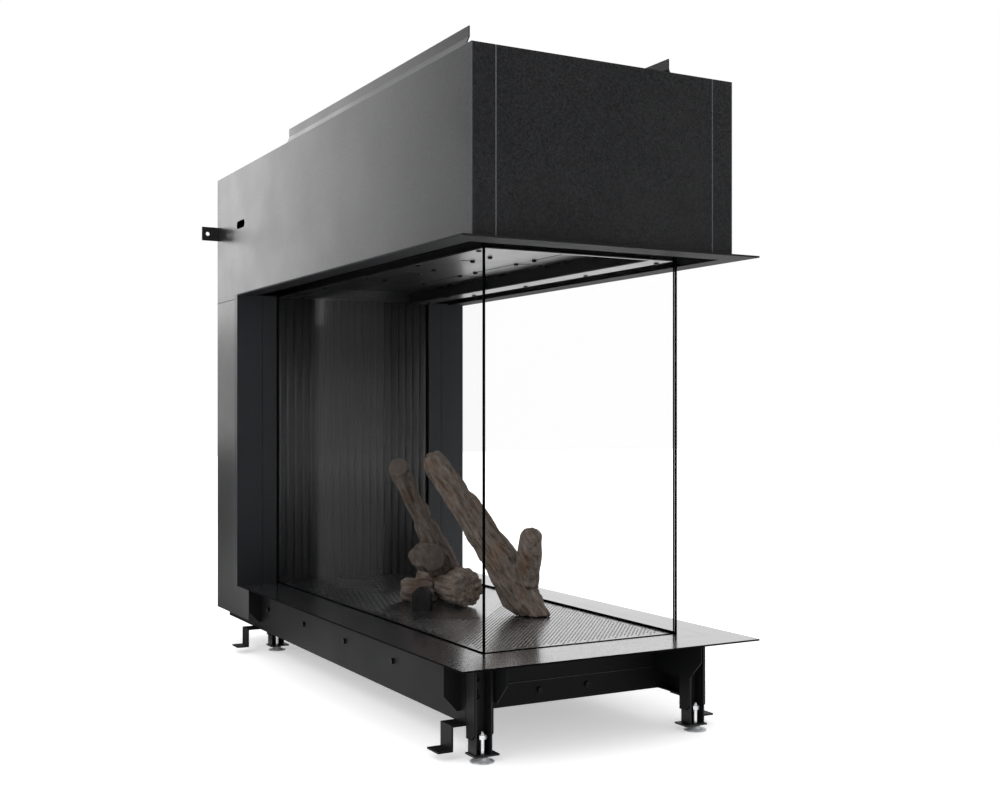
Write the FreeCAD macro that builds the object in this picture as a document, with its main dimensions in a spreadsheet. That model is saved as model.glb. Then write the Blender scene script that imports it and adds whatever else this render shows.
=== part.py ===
import FreeCAD, Part
import math
import os
import Sketcher
from FreeCAD import Vector

# Gas fireplace with glass on three sides, for building in as a room divider.
# The origin is on the floor under the middle of the part, +Z is up, +X points to the glazed nose
# and the long glass panes face +Y (left) and -Y (right). All sizes are in millimetres.

SIZES = {
    # sheet metal and general clearances
    "sheet": 2.0,
    "trim_thickness": 3.0,
    "seam": 0.5,
    "column_seam": 0.8,
    "slide_gap": 0.3,
    # casing
    "casing_back": -686.5,
    "casing_inset": 33.0,
    "casing_foot": 78.0,
    "hood_foot": 820.0,
    "hood_top": 1121.0,
    "hood_return": 42.0,
    "nose_groove": 1.5,
    "nose_fold": 16.0,
    "vent_slot_setback": 164.5,
    "vent_slot_length": 41.0,
    "vent_slot_radius": 9.0,
    "vent_slot_drop": 130.0,
    # rails, wall brackets and flue
    "rail_start": -317.0,
    "rail_end": 544.0,
    "rail_inset": 54.5,
    "rail_height": 60.0,
    "rail_foot": 25.0,
    "wall_bracket_setback": 10.0,
    "wall_bracket_reach": 42.1,
    "wall_bracket_height": 33.0,
    "wall_bracket_drop": 133.0,
    "wall_bracket_hole_radius": 4.75,
    "wall_bracket_hole_inset": 14.0,
    "flue_place": 113.0,
    "collar_radius": 75.0,
    "collar_wall": 1.5,
    "collar_height": 50.0,
    "collar_flange": 20.0,
    "flue_radius": 50.0,
    "flue_wall": 1.5,
    "flue_rise": 10.0,
    # trim flanges round the glass
    "trim_back": -422.0,
    "trim_side_width": 54.8,
    "trim_nose_width": 71.5,
    "trim_mitre_gap": 0.4,
    "top_slot_width": 52.4,
    "bottom_trim_level": 164.0,
    "bottom_strip_width": 38.2,
    # glass
    "glass_thickness": 5.0,
    "glass_half": 193.5,
    "glass_nose": 576.8,
    "glass_top": 832.0,
    "glass_tuck": 2.7,
    # ceiling of the firebox
    "recess_depth": 25.5,
    "ceiling_strip_width": 43.0,
    "ceiling_strip_nose_width": 8.3,
    "strip_screw_margin": 35.0,
    "baffle_gap": 0.6,
    "baffle_seam_back": -18.0,
    "baffle_seam_nose": 221.0,
    "baffle_seam_side": 72.0,
    "strip_screw_radius": 4.5,
    "strip_screw_head": 2.0,
    "strip_screw_inset": 9.5,
    "ceiling_bolt_radius": 6.0,
    "ceiling_bolt_head": 4.0,
    "ceiling_bolt_outer": 134.5,
    "ceiling_bolt_inner": 24.0,
    "ceiling_bolt_back": -192.5,
    "ceiling_bolt_middle": 50.3,
    "ceiling_bolt_nose": 290.5,
    # column front
    "liner_depth": 6.0,
    "rib_depth": 4.0,
    "column_strip_width": 34.0,
    "flange_depth": 20.0,
    "flange_ledge_gap": 3.5,
    "liner_gap": 1.5,
    # deck, burner and pilot
    "deck_gap": 0.3,
    "burner_back_place": 184.0,
    "burner_back_side": -120.0,
    "burner_nose_place": 228.0,
    "burner_nose_side": -2.5,
    "burner_tray_back": 20.0,
    "burner_tray_nose": 360.0,
    "burner_tray_half": 165.0,
    "burner_tray_depth": 60.0,
    "burner_tray_lip": 12.0,
    "burner_slot_length": 15.0,
    "burner_slot_radius": 1.5,
    "burner_slot_pitch": 19.5,
    "burner_slot_place": 148.0,
    "burner_slot_side": -57.0,
    "inlet_radius": 11.0,
    "inlet_length": 30.0,
    "pilot_place": 125.0,
    "pilot_side": -85.0,
    "pilot_width": 35.0,
    "pilot_height": 45.0,
    "pilot_depth": 25.0,
    "pilot_corner": 10.0,
    "pilot_window": 17.0,
    "pilot_window_depth": 3.0,
    # base frame
    "base_plate_thickness": 3.0,
    "skirt_foot": 55.0,
    "skirt_inset": 29.5,
    "skirt_leg_gap": 7.7,
    "beam_setback": 143.5,
    "gusset_setback": 97.5,
    "nose_gusset_gap": 2.7,
    "skirt_flange": 19.0,
    "beam_flange": 20.0,
    "gusset_low": 72.6,
    "gusset_corner": 97.6,
    "gusset_toe": 6.0,
    "nose_gusset_low": 92.0,
    "nose_gusset_chamfer": 34.0,
    "bolt_radius": 5.5,
    "bolt_head": 4.0,
    "skirt_bolt_first": -388.0,
    "skirt_bolt_pitch": 227.5,
    "skirt_bolt_level": 107.7,
    "beam_bolt_side": 48.0,
    "beam_bolt_level": 79.0,
    # legs and feet
    "leg_width": 30.0,
    "front_leg_setback": 53.5,
    "front_leg_inset": 14.0,
    "back_leg_setback": 214.5,
    "back_leg_inset": 46.0,
    "leg_depth": 26.0,
    "leg_top": 155.0,
    "foot_plate_level": 9.5,
    "foot_plate_outer": 18.0,
    "foot_plate_inner": 26.0,
    "foot_plate_over": 4.0,
    "keyhole_radius": 5.0,
    "keyhole_slot_radius": 2.5,
    "keyhole_slot_length": 9.0,
    "keyhole_level": 100.0,
    "keyhole_pitch": 27.0,
    "guide_foot": 35.0,
    "guide_corner": 10.0,
    "pad_radius": 20.0,
    "pad_height": 9.0,
    "pad_rim": 3.0,
    "pad_neck_radius": 8.5,
    "stud_radius": 4.0,
    "stud_offset": 6.4,
    "stud_tip": 48.0,
    "stud_dome": 3.0,
    "hex_flats": 13.0,
    "hex_low": 36.5,
    "hex_height": 6.5,
    # floor brackets
    "bracket_width": 40.0,
    "bracket_back_offset": 30.0,
    "bracket_overlap": 16.0,
    "bracket_reach": 22.0,
    "bracket_foot_width": 27.0,
    "bracket_level": 13.0,
    "bracket_hole_radius": 4.5,
    "bracket_hole_inset": 12.0,
    # logs
    "log_clearance": 0.3,
    "forked_base_place": 287.5,
    "forked_base_side": 74.5,
    "forked_top_place": 53.0,
    "forked_top_side": -26.0,
    "forked_top_level": 456.0,
    "forked_radius": 33.0,
    "fork_root_place": 262.0,
    "fork_root_side": 67.0,
    "fork_root_level": 205.0,
    "fork_tip_place": 285.0,
    "fork_tip_side": 70.0,
    "fork_tip_level": 326.0,
    "fork_radius": 22.0,
    "leaning_base_place": 50.0,
    "leaning_base_side": 4.0,
    "leaning_base_level": 225.0,
    "leaning_top_place": -4.0,
    "leaning_top_side": -78.0,
    "leaning_top_level": 441.0,
    "leaning_radius": 40.0,
    "stub_root_place": 32.0,
    "stub_root_side": -43.0,
    "stub_root_level": 260.0,
    "stub_place": 97.0,
    "stub_side": -50.0,
    "stub_level": 261.0,
    "stub_radius": 28.0,
    "cross_nose_place": 136.0,
    "cross_back_place": -58.0,
    "cross_side": 13.0,
    "cross_radius": 38.0,
    "short_outer_place": 0.0,
    "short_outer_side": -72.0,
    "short_inner_place": 40.0,
    "short_inner_side": 15.0,
    "short_radius": 25.0,
}


class Size:
    """A length with its value and the sheet formula that gives it."""

    def __init__(self, value, text):
        self.value = value
        self.text = text

    def __add__(self, other):
        other = as_size(other)
        return Size(self.value + other.value, "(%s + %s)" % (self.text, other.text))

    def __sub__(self, other):
        other = as_size(other)
        return Size(self.value - other.value, "(%s - %s)" % (self.text, other.text))

    def __mul__(self, number):
        return Size(self.value * number, "(%s * %s)" % (self.text, number))

    def __truediv__(self, number):
        return Size(self.value / number, "(%s / %s)" % (self.text, number))

    def __neg__(self):
        return Size(-self.value, "(0 - %s)" % self.text)


class Sizes:
    """The named sizes of the sheet, each read as an attribute."""

    def __init__(self, names):
        for name, value in names.items():
            setattr(self, name, Size(value, "sizes." + name))


def as_size(number):
    return number if isinstance(number, Size) else Size(float(number), str(number))


doc = FreeCAD.newDocument("gas_fireplace")
sheet = doc.addObject("Spreadsheet::Sheet", "sizes")
for row, (name, value) in enumerate(SIZES.items(), start=1):
    sheet.set("A%d" % row, name)
    sheet.set("B%d" % row, str(value))
    sheet.setAlias("B%d" % row, name)
doc.recompute()

s = Sizes(SIZES)
zero = as_size(0)

# Sizes that follow from the named ones: the glass sets the flanges, these the casing, and it the base.
s.bottom_trim_inner_half = s.glass_half + s.bottom_strip_width
s.bottom_trim_inner_nose = s.glass_nose + s.bottom_strip_width
s.top_trim_inner_half = s.glass_half + s.top_slot_width
s.top_trim_inner_nose = s.glass_nose + s.top_slot_width
s.trim_half = s.bottom_trim_inner_half + s.trim_side_width
s.trim_nose = s.bottom_trim_inner_nose + s.trim_nose_width
s.casing_half = s.trim_half - s.casing_inset
s.casing_nose = s.trim_nose - s.casing_inset
s.vent_slot_start = s.casing_back + s.vent_slot_setback
s.vent_slot_height = s.hood_top - s.vent_slot_drop
s.rail_offset = s.casing_half - s.rail_inset
s.wall_bracket_middle = s.hood_top - s.wall_bracket_drop
s.column_front = s.trim_back - s.flange_depth
s.ceiling_strip_half = s.glass_half - s.glass_thickness - s.seam
s.recess_half = s.ceiling_strip_half - s.ceiling_strip_width
s.recess_nose = s.glass_nose - s.glass_thickness - s.seam - s.ceiling_strip_nose_width
s.flange_inner_half = s.glass_half + s.column_strip_width
s.flange_ledge_half = s.glass_half + s.flange_ledge_gap
s.liner_half = s.glass_half - s.glass_thickness - s.liner_gap
s.skirt_half = s.casing_half - s.skirt_inset
s.beam_place = s.casing_nose - s.beam_setback
s.gusset_front = s.casing_nose - s.gusset_setback
s.front_leg_place = s.casing_nose - s.front_leg_setback
s.front_leg_half = s.skirt_half - s.front_leg_inset
s.back_leg_place = s.casing_back + s.back_leg_setback
s.back_leg_half = s.skirt_half - s.back_leg_inset
s.skirt_nose = s.front_leg_place - s.leg_depth / 2 - s.slide_gap - s.sheet - s.skirt_leg_gap
s.nose_gusset_half = s.front_leg_half - s.leg_width / 2 - s.slide_gap - s.sheet - s.nose_gusset_gap
s.bracket_front = s.skirt_nose - s.bracket_width
s.bracket_back = s.back_leg_place - s.bracket_back_offset
s.bracket_top_inner = s.skirt_half - s.bracket_overlap
s.bracket_drop = s.skirt_half + s.bracket_reach
s.bracket_foot = s.bracket_drop + s.bracket_foot_width
nodes = []
SIDES = (("left", 1), ("right", -1))


def node(piece):
    """Marks a finished piece as one of the part's own nodes."""
    nodes.append(piece)
    return piece


def span(side, inner, outer):
    """From and to across the part, for the side at +Y or its mirror at -Y."""
    return (inner, outer) if side > 0 else (-outer, -inner)


def plate(label, x, y, z):
    """A plain flat piece, given as from and to along each axis."""
    box = doc.addObject("Part::Box", label)
    for length, axis, (low, high) in (("Length", "x", x), ("Width", "y", y), ("Height", "z", z)):
        box.setExpression(length, (high - low).text)
        box.setExpression("Placement.Base." + axis, low.text)
    return box


def hex_head(label, radius, length, place, direction):
    """A six-sided bolt head that starts at a place and grows along a direction."""
    piece = doc.addObject("Part::Prism", label)
    piece.Polygon = 6
    piece.setExpression("Circumradius", radius.text)
    piece.setExpression("Height", length.text)
    piece.Placement.Rotation = FreeCAD.Rotation(Vector(0, 0, 1), direction)
    for axis, value in zip("xyz", place):
        piece.setExpression("Placement.Base." + axis, value.text)
    return piece


def group(label, pieces):
    """Alike pieces that make one node as a group of solids."""
    compound = doc.addObject("Part::Compound", label)
    compound.Links = pieces
    return node(compound)


def new_sketch(body, label, plane, level):
    """A sketch on one of the body's origin planes, lifted to a level along the normal."""
    sketch = body.newObject("Sketcher::SketchObject", label)
    support = [feature for feature in body.Origin.OriginFeatures if feature.Role == plane]
    sketch.AttachmentSupport = [(support[0], "")]
    sketch.MapMode = "FlatFace"
    sketch.setExpression("AttachmentOffset.Base.z", level.text)
    return sketch


def fix_point(sketch, shape, point, place):
    """Ties one point of the sketch to the origin by two bound distances."""
    for kind, length in (("DistanceX", place[0]), ("DistanceY", place[1])):
        index = sketch.addConstraint(Sketcher.Constraint(kind, -1, 1, shape, point, length.value))
        sketch.setExpression("Constraints[%d]" % index, length.text)


def polygon(sketch, points):
    """A closed outline of straight lines."""
    first = sketch.GeometryCount
    count = len(points)
    for index in range(count):
        start = points[index]
        end = points[(index + 1) % count]
        start_point = Vector(start[0].value, start[1].value, 0)
        end_point = Vector(end[0].value, end[1].value, 0)
        sketch.addGeometry(Part.LineSegment(start_point, end_point))
    for index in range(count):
        following = first + (index + 1) % count
        sketch.addConstraint(Sketcher.Constraint("Coincident", first + index, 2, following, 1))
        fix_point(sketch, first + index, 1, points[index])


def rectangle(sketch, across, up):
    """A closed outline from two from-and-to pairs."""
    corners = [(across[0], up[0]), (across[1], up[0]), (across[1], up[1]), (across[0], up[1])]
    polygon(sketch, corners)


def circle(sketch, centre, radius):
    """A bound circle."""
    place = Vector(centre[0].value, centre[1].value, 0)
    index = sketch.addGeometry(Part.Circle(place, Vector(0, 0, 1), radius.value))
    bound = sketch.addConstraint(Sketcher.Constraint("Radius", index, radius.value))
    sketch.setExpression("Constraints[%d]" % bound, radius.text)
    fix_point(sketch, index, 3, centre)


def slot(sketch, start, end, radius):
    """A straight slot with round ends, from the centre of one end to the centre of the other."""
    first = Vector(start[0].value, start[1].value, 0)
    last = Vector(end[0].value, end[1].value, 0)
    along = (last - first).normalize()
    across = Vector(-along.y, along.x, 0) * radius.value
    turn = math.atan2(along.y, along.x)
    quarter = math.pi / 2
    normal = Vector(0, 0, 1)
    near = Part.ArcOfCircle(Part.Circle(first, normal, radius.value), turn + quarter, turn + 3 * quarter)
    far = Part.ArcOfCircle(Part.Circle(last, normal, radius.value), turn - quarter, turn + quarter)
    near_end = sketch.addGeometry(near)
    far_end = sketch.addGeometry(far)
    low_edge = sketch.addGeometry(Part.LineSegment(first - across, last - across))
    high_edge = sketch.addGeometry(Part.LineSegment(last + across, first + across))
    sketch.addConstraint(Sketcher.Constraint("Tangent", near_end, 2, low_edge, 1))
    sketch.addConstraint(Sketcher.Constraint("Tangent", low_edge, 2, far_end, 1))
    sketch.addConstraint(Sketcher.Constraint("Tangent", far_end, 2, high_edge, 1))
    sketch.addConstraint(Sketcher.Constraint("Tangent", high_edge, 2, near_end, 1))
    bound = sketch.addConstraint(Sketcher.Constraint("Radius", near_end, radius.value))
    sketch.setExpression("Constraints[%d]" % bound, radius.text)
    fix_point(sketch, near_end, 3, start)
    fix_point(sketch, far_end, 3, end)


def level_for(plane, low, high):
    """The sketch level from which a feature grows along the plane's normal over low to high."""
    return -high if plane == "XZ_Plane" else low


def new_body(label):
    return doc.addObject("PartDesign::Body", label)


def pad(body, label, plane, draw, low, high):
    """Adds material over low to high, from a sketch that draw() fills."""
    sketch = new_sketch(body, label + "_sketch", plane, level_for(plane, low, high))
    draw(sketch)
    feature = body.newObject("PartDesign::Pad", label)
    feature.Profile = sketch
    feature.setExpression("Length", (high - low).text)
    doc.recompute()
    return feature


def pocket(body, label, plane, draw, low, high):
    """Cuts material away over low to high, and makes sure that something was cut."""
    before = body.Shape.Volume
    sketch = new_sketch(body, label + "_sketch", plane, level_for(plane, low, high))
    draw(sketch)
    feature = body.newObject("PartDesign::Pocket", label)
    feature.Profile = sketch
    feature.setExpression("Length", (high - low).text)
    feature.Reversed = True
    doc.recompute()
    if body.Shape.Volume >= before:
        raise RuntimeError(label + " cuts nothing")
    return feature


def revolve(label, points, x, y):
    """A turned piece from a half section of radius and height points, standing at x and y."""
    body = new_body(label)
    sketch = new_sketch(body, label + "_section", "XZ_Plane", zero)
    polygon(sketch, points)
    feature = body.newObject("PartDesign::Revolution", label + "_turned")
    feature.Profile = sketch
    feature.ReferenceAxis = (sketch, ["V_Axis"])
    feature.Angle = 360
    body.setExpression("Placement.Base.x", x.text)
    body.setExpression("Placement.Base.y", y.text)
    doc.recompute()
    return body


def at_side(side, points):
    """Points drawn for the left side, or mirrored for the right one; the second value is Y."""
    return [(x, y * side) for x, y in points]


def section_at_side(side, points):
    """Cross sections drawn for the left side, or mirrored; the first value is Y."""
    return [(y * side, z) for y, z in points]


# Levels and faces that several pieces share.
base_top = s.bottom_trim_level - s.trim_thickness
base_low = base_top - s.base_plate_thickness
top_trim_low = s.hood_foot - s.trim_thickness
strip_top = top_trim_low + s.sheet
baffle_low = top_trim_low + s.recess_depth
roof_low = baffle_low + s.trim_thickness
roof_top = roof_low + s.sheet
casing_inner = s.casing_half - s.sheet
back_inner = s.casing_back + s.sheet
nose_inner = s.casing_nose - s.sheet
return_edge = s.casing_half - s.hood_return
glass_inner = s.glass_half - s.glass_thickness
glass_nose_inner = s.glass_nose - s.glass_thickness
skirt_inner = s.skirt_half - s.sheet
beam_front = s.beam_place + s.sheet

# Hood: two sides that wrap round the nose, a nose panel between them and a top plate.
for name, side in SIDES:
    body = new_body("hood_side_" + name)
    hood_outline = at_side(side, [
        (s.casing_back, casing_inner),
        (nose_inner, casing_inner),
        (nose_inner, return_edge),
        (s.casing_nose, return_edge),
        (s.casing_nose, s.casing_half),
        (s.casing_back, s.casing_half),
    ])
    pad(body, "hood_side_sheet_" + name, "XY_Plane",
        lambda sketch: polygon(sketch, hood_outline), s.hood_foot, s.hood_top)
    slot_start = (s.vent_slot_start, s.vent_slot_height)
    slot_end = (s.vent_slot_start + s.vent_slot_length, s.vent_slot_height)
    low, high = span(side, casing_inner, s.casing_half)
    pocket(body, "hood_side_slot_" + name, "XZ_Plane",
           lambda sketch: slot(sketch, slot_start, slot_end, s.vent_slot_radius), low, high)
    node(body)

nose_half = return_edge - s.nose_groove
nose_panel = new_body("nose_panel")
pad(nose_panel, "nose_sheet", "XY_Plane",
    lambda sketch: rectangle(sketch, (nose_inner, s.casing_nose), (-nose_half, nose_half)),
    s.hood_foot, s.hood_top)
for name, side in SIDES:
    fold = span(side, nose_half - s.sheet, nose_half)
    pad(nose_panel, "nose_fold_" + name, "XY_Plane",
        lambda sketch: rectangle(sketch, (nose_inner - s.nose_fold, nose_inner), fold),
        s.hood_foot, s.hood_top - s.sheet)
node(nose_panel)

hood_top_plate = new_body("hood_top_plate")
pad(hood_top_plate, "hood_top_sheet", "XY_Plane",
    lambda sketch: rectangle(sketch, (s.casing_back, nose_inner), (-casing_inner, casing_inner)),
    s.hood_top - s.sheet, s.hood_top)
pocket(hood_top_plate, "hood_top_flue_hole", "XY_Plane",
       lambda sketch: circle(sketch, (s.flue_place, zero), s.collar_radius - s.collar_wall),
       s.hood_top - s.sheet, s.hood_top)
node(hood_top_plate)

node(plate("back_panel", (s.casing_back, back_inner), (-casing_inner, casing_inner),
           (s.casing_foot, s.hood_top - s.sheet)))

# Column behind the glass: two side panels under the hood.
for name, side in SIDES:
    node(plate("column_side_" + name, (s.casing_back, s.column_front),
               span(side, casing_inner, s.casing_half), (s.casing_foot, s.hood_foot - s.column_seam)))

# Rails on the top plate, bent from sheet with a foot.
for name, side in SIDES:
    rail_section = section_at_side(side, [
        (s.rail_offset - s.rail_foot, s.hood_top),
        (s.rail_offset + s.sheet, s.hood_top),
        (s.rail_offset + s.sheet, s.hood_top + s.rail_height),
        (s.rail_offset, s.hood_top + s.rail_height),
        (s.rail_offset, s.hood_top + s.sheet),
        (s.rail_offset - s.rail_foot, s.hood_top + s.sheet),
    ])
    body = new_body("top_rail_" + name)
    pad(body, "top_rail_sheet_" + name, "YZ_Plane",
        lambda sketch: polygon(sketch, rail_section), s.rail_start, s.rail_end)
    node(body)

# Brackets that stand out from the hood sides for fixing to the wall.
wall_brackets = []
for name, side in SIDES:
    bracket_back = s.casing_back + s.wall_bracket_setback
    bracket_end = s.casing_half + s.wall_bracket_reach
    low = s.wall_bracket_middle - s.wall_bracket_height / 2
    high = s.wall_bracket_middle + s.wall_bracket_height / 2
    hole = ((bracket_end - s.wall_bracket_hole_inset) * side, s.wall_bracket_middle)
    body = new_body("wall_bracket_" + name)
    pad(body, "wall_bracket_sheet_" + name, "YZ_Plane",
        lambda sketch: rectangle(sketch, span(side, s.casing_half, bracket_end), (low, high)),
        bracket_back, bracket_back + s.trim_thickness)
    pocket(body, "wall_bracket_hole_" + name, "YZ_Plane",
           lambda sketch: circle(sketch, hole, s.wall_bracket_hole_radius),
           bracket_back, bracket_back + s.trim_thickness)
    wall_brackets.append(body)
group("wall_brackets", wall_brackets)

# Balanced flue: an outer collar on the top plate and an inner pipe from the firebox roof.
collar_top = s.hood_top + s.collar_height
collar_bore = s.collar_radius - s.collar_wall
collar_edge = s.collar_radius + s.collar_flange
node(revolve("flue_collar_outer", [
    (collar_bore, s.hood_top),
    (collar_edge, s.hood_top),
    (collar_edge, s.hood_top + s.sheet),
    (s.collar_radius, s.hood_top + s.sheet),
    (s.collar_radius, collar_top),
    (collar_bore, collar_top),
], s.flue_place, zero))
flue_bore = s.flue_radius - s.flue_wall
node(revolve("flue_pipe_inner", [
    (flue_bore, roof_top),
    (s.flue_radius, roof_top),
    (s.flue_radius, collar_top + s.flue_rise),
    (flue_bore, collar_top + s.flue_rise),
], s.flue_place, zero))


def trim_flange(label, inner_half, inner_nose, low):
    """A flange along both long sides and round the nose, in three lengths with mitred corners."""
    gap = s.trim_mitre_gap
    lengths = []
    for name, side in SIDES:
        corners = at_side(side, [
            (s.trim_back, inner_half),
            (inner_nose - gap, inner_half),
            (s.trim_nose - gap, s.trim_half),
            (s.trim_back, s.trim_half),
        ])
        body = new_body("%s_%s" % (label, name))
        pad(body, "%s_%s_sheet" % (label, name), "XY_Plane",
            lambda sketch: polygon(sketch, corners), low, low + s.trim_thickness)
        lengths.append(body)
    corners = [
        (inner_nose, -inner_half),
        (s.trim_nose, -s.trim_half),
        (s.trim_nose, s.trim_half),
        (inner_nose, inner_half),
    ]
    body = new_body(label + "_nose")
    pad(body, label + "_nose_sheet", "XY_Plane",
        lambda sketch: polygon(sketch, corners), low, low + s.trim_thickness)
    lengths.append(body)
    group(label, lengths)


trim_flange("top_trim", s.top_trim_inner_half, s.top_trim_inner_nose, top_trim_low)
trim_flange("bottom_trim", s.bottom_trim_inner_half, s.bottom_trim_inner_nose, base_top)

# Ceiling of the firebox: a roof with recess walls, baffles in the recess and strips beside it.
firebox_roof = new_body("firebox_roof")
pad(firebox_roof, "roof_sheet", "XY_Plane",
    lambda sketch: rectangle(sketch, (back_inner, nose_inner - s.nose_fold), (-casing_inner, casing_inner)),
    roof_low, roof_top)
recess_outer = s.recess_half + s.sheet


def recess_walls(sketch):
    rectangle(sketch, (s.trim_back, s.recess_nose + s.sheet), (-recess_outer, recess_outer))
    rectangle(sketch, (s.trim_back + s.sheet, s.recess_nose), (-s.recess_half, s.recess_half))


pad(firebox_roof, "roof_recess_walls", "XY_Plane", recess_walls, strip_top, roof_low)
pocket(firebox_roof, "roof_flue_hole", "XY_Plane",
       lambda sketch: circle(sketch, (s.flue_place, zero), flue_bore), roof_low, roof_top)
node(firebox_roof)

strip_end = glass_nose_inner - s.seam
ceiling_strips = []
for name, side in SIDES:
    ceiling_strips.append(plate("ceiling_strip_" + name, (s.trim_back, strip_end),
                                span(side, s.recess_half, s.ceiling_strip_half), (top_trim_low, strip_top)))
ceiling_strips.append(plate("ceiling_strip_nose", (s.recess_nose, strip_end),
                            (-s.recess_half, s.recess_half), (top_trim_low, strip_top)))
group("ceiling_strips", ceiling_strips)

screw_count = 5
strip_screw_pitch = (strip_end - s.trim_back - s.strip_screw_margin * 2) / (screw_count - 1)
strip_screws = []
for name, side in SIDES:
    for index in range(screw_count):
        place = (s.trim_back + s.strip_screw_margin + strip_screw_pitch * index,
                 (s.ceiling_strip_half - s.strip_screw_inset) * side, top_trim_low)
        strip_screws.append(hex_head("strip_screw_%s_%d" % (name, index), s.strip_screw_radius,
                                 s.strip_screw_head, place, Vector(0, 0, -1)))
group("strip_screws", strip_screws)

gap = s.baffle_gap / 2
recess_back = s.trim_back + s.sheet
baffle_rows = (
    (-s.recess_half, -s.baffle_seam_side - gap),
    (-s.baffle_seam_side + gap, s.baffle_seam_side - gap),
    (s.baffle_seam_side + gap, s.recess_half),
)
baffles = [plate("baffle_back", (recess_back, s.baffle_seam_back - gap), (-s.recess_half, s.recess_half),
                 (baffle_low, roof_low))]
for index, row in enumerate(baffle_rows):
    baffles.append(plate("baffle_middle_%d" % index,
                         (s.baffle_seam_back + gap, s.baffle_seam_nose - gap), row, (baffle_low, roof_low)))
    baffles.append(plate("baffle_nose_%d" % index,
                         (s.baffle_seam_nose + gap, s.recess_nose), row, (baffle_low, roof_low)))
group("ceiling_baffles", baffles)

ceiling_bolts = []
for x in (s.ceiling_bolt_back, s.ceiling_bolt_middle, s.ceiling_bolt_nose):
    for y in (s.ceiling_bolt_outer, s.ceiling_bolt_inner, -s.ceiling_bolt_inner, -s.ceiling_bolt_outer):
        ceiling_bolts.append(hex_head("ceiling_bolt_%d" % len(ceiling_bolts), s.ceiling_bolt_radius,
                                  s.ceiling_bolt_head, (x, y, baffle_low), Vector(0, 0, -1)))
group("ceiling_bolts", ceiling_bolts)

# Column front: folded flanges, removable strips in front of their ledges, and a ribbed liner.
flange_rear = s.trim_back - s.sheet
ledge_rear = flange_rear - s.sheet
for name, side in SIDES:
    flange_outline = at_side(side, [
        (s.trim_back, s.flange_inner_half),
        (s.trim_back, s.trim_half),
        (s.column_front, s.trim_half),
        (s.column_front, casing_inner),
        (s.column_front + s.sheet, casing_inner),
        (s.column_front + s.sheet, s.trim_half - s.sheet),
        (flange_rear, s.trim_half - s.sheet),
        (flange_rear, s.flange_inner_half + s.sheet),
        (ledge_rear, s.flange_inner_half + s.sheet),
        (ledge_rear, s.flange_ledge_half),
        (flange_rear, s.flange_ledge_half),
        (flange_rear, s.flange_inner_half),
    ])
    body = new_body("column_flange_" + name)
    pad(body, "column_flange_sheet_" + name, "XY_Plane",
        lambda sketch: polygon(sketch, flange_outline), base_top, s.hood_foot)
    node(body)
    node(plate("column_strip_" + name, (flange_rear, s.trim_back),
               span(side, s.glass_half + s.slide_gap, s.flange_inner_half - s.slide_gap),
               (base_top, top_trim_low)))


def axis_of(body, role):
    return [feature for feature in body.Origin.OriginFeatures if feature.Role == role][0]


def repeat(body, label, originals, axis, length, count):
    """Repeats features in a row along one of the body's own axes."""
    pattern = body.newObject("PartDesign::LinearPattern", label)
    pattern.Originals = originals
    pattern.Direction = (axis_of(body, axis), [""])
    pattern.Occurrences = count
    pattern.setExpression("Length", length.text)
    body.Tip = pattern
    doc.recompute()


rib_count = 20
rib_width_share = 0.5
rib_pitch = s.liner_half * 2 / rib_count
rib_width = rib_pitch * rib_width_share
rib_rear = s.trim_back - s.rib_depth
rib_start = -(rib_pitch * (rib_count - 1) + rib_width) / 2
ribbed_liner = new_body("ribbed_liner")
pad(ribbed_liner, "liner_sheet", "XY_Plane",
    lambda sketch: rectangle(sketch, (s.trim_back - s.liner_depth, rib_rear), (-s.liner_half, s.liner_half)),
    base_top, top_trim_low)
rib = pad(ribbed_liner, "liner_rib", "XY_Plane",
          lambda sketch: rectangle(sketch, (rib_rear, s.trim_back), (rib_start, rib_start + rib_width)),
          base_top, top_trim_low)
repeat(ribbed_liner, "liner_ribs", [rib], "Y_Axis", rib_pitch * (rib_count - 1), rib_count)
node(ribbed_liner)

# Base plate with the burner's cut-out, and the removable strips that hold the glass below.
tray_opening_x = (s.burner_tray_back + s.burner_tray_lip, s.burner_tray_nose - s.burner_tray_lip)
tray_opening_half = s.burner_tray_half - s.burner_tray_lip


def base_outline(sketch):
    rectangle(sketch, (back_inner, nose_inner), (-casing_inner, casing_inner))
    rectangle(sketch, tray_opening_x, (-tray_opening_half, tray_opening_half))


base_plate = new_body("base_plate")
pad(base_plate, "base_sheet", "XY_Plane", base_outline, base_low, base_top)
node(base_plate)

strip_inner = s.glass_half + s.slide_gap
strip_outer = s.bottom_trim_inner_half - s.slide_gap
strip_nose = s.bottom_trim_inner_nose - s.slide_gap
for name, side in SIDES:
    node(plate("bottom_strip_" + name, (s.trim_back, strip_nose), span(side, strip_inner, strip_outer),
               (base_top, s.bottom_trim_level)))
node(plate("bottom_strip_nose", (s.glass_nose + s.slide_gap, strip_nose), (-s.glass_half, s.glass_half),
           (base_top, s.bottom_trim_level)))

# Three glass panes that stand on the base plate and reach into the slot above.
for name, side in SIDES:
    node(plate("glass_" + name, (s.trim_back - s.glass_tuck, s.glass_nose),
               span(side, glass_inner, s.glass_half), (base_top, s.glass_top)))
glass_nose_half = glass_inner - s.slide_gap
node(plate("glass_nose", (glass_nose_inner, s.glass_nose), (-glass_nose_half, glass_nose_half),
           (base_top, s.glass_top)))

# Deck in three plates, parted by two slanting seams; the middle one is the burner.
deck_half = glass_inner - s.deck_gap
deck_nose = glass_nose_inner - s.deck_gap
seam_slope_share = 1.1913


def seam_at(place, at_width, width):
    """Where a slanting seam that passes through a known place crosses another width."""
    return place - (width - at_width) * seam_slope_share


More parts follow.
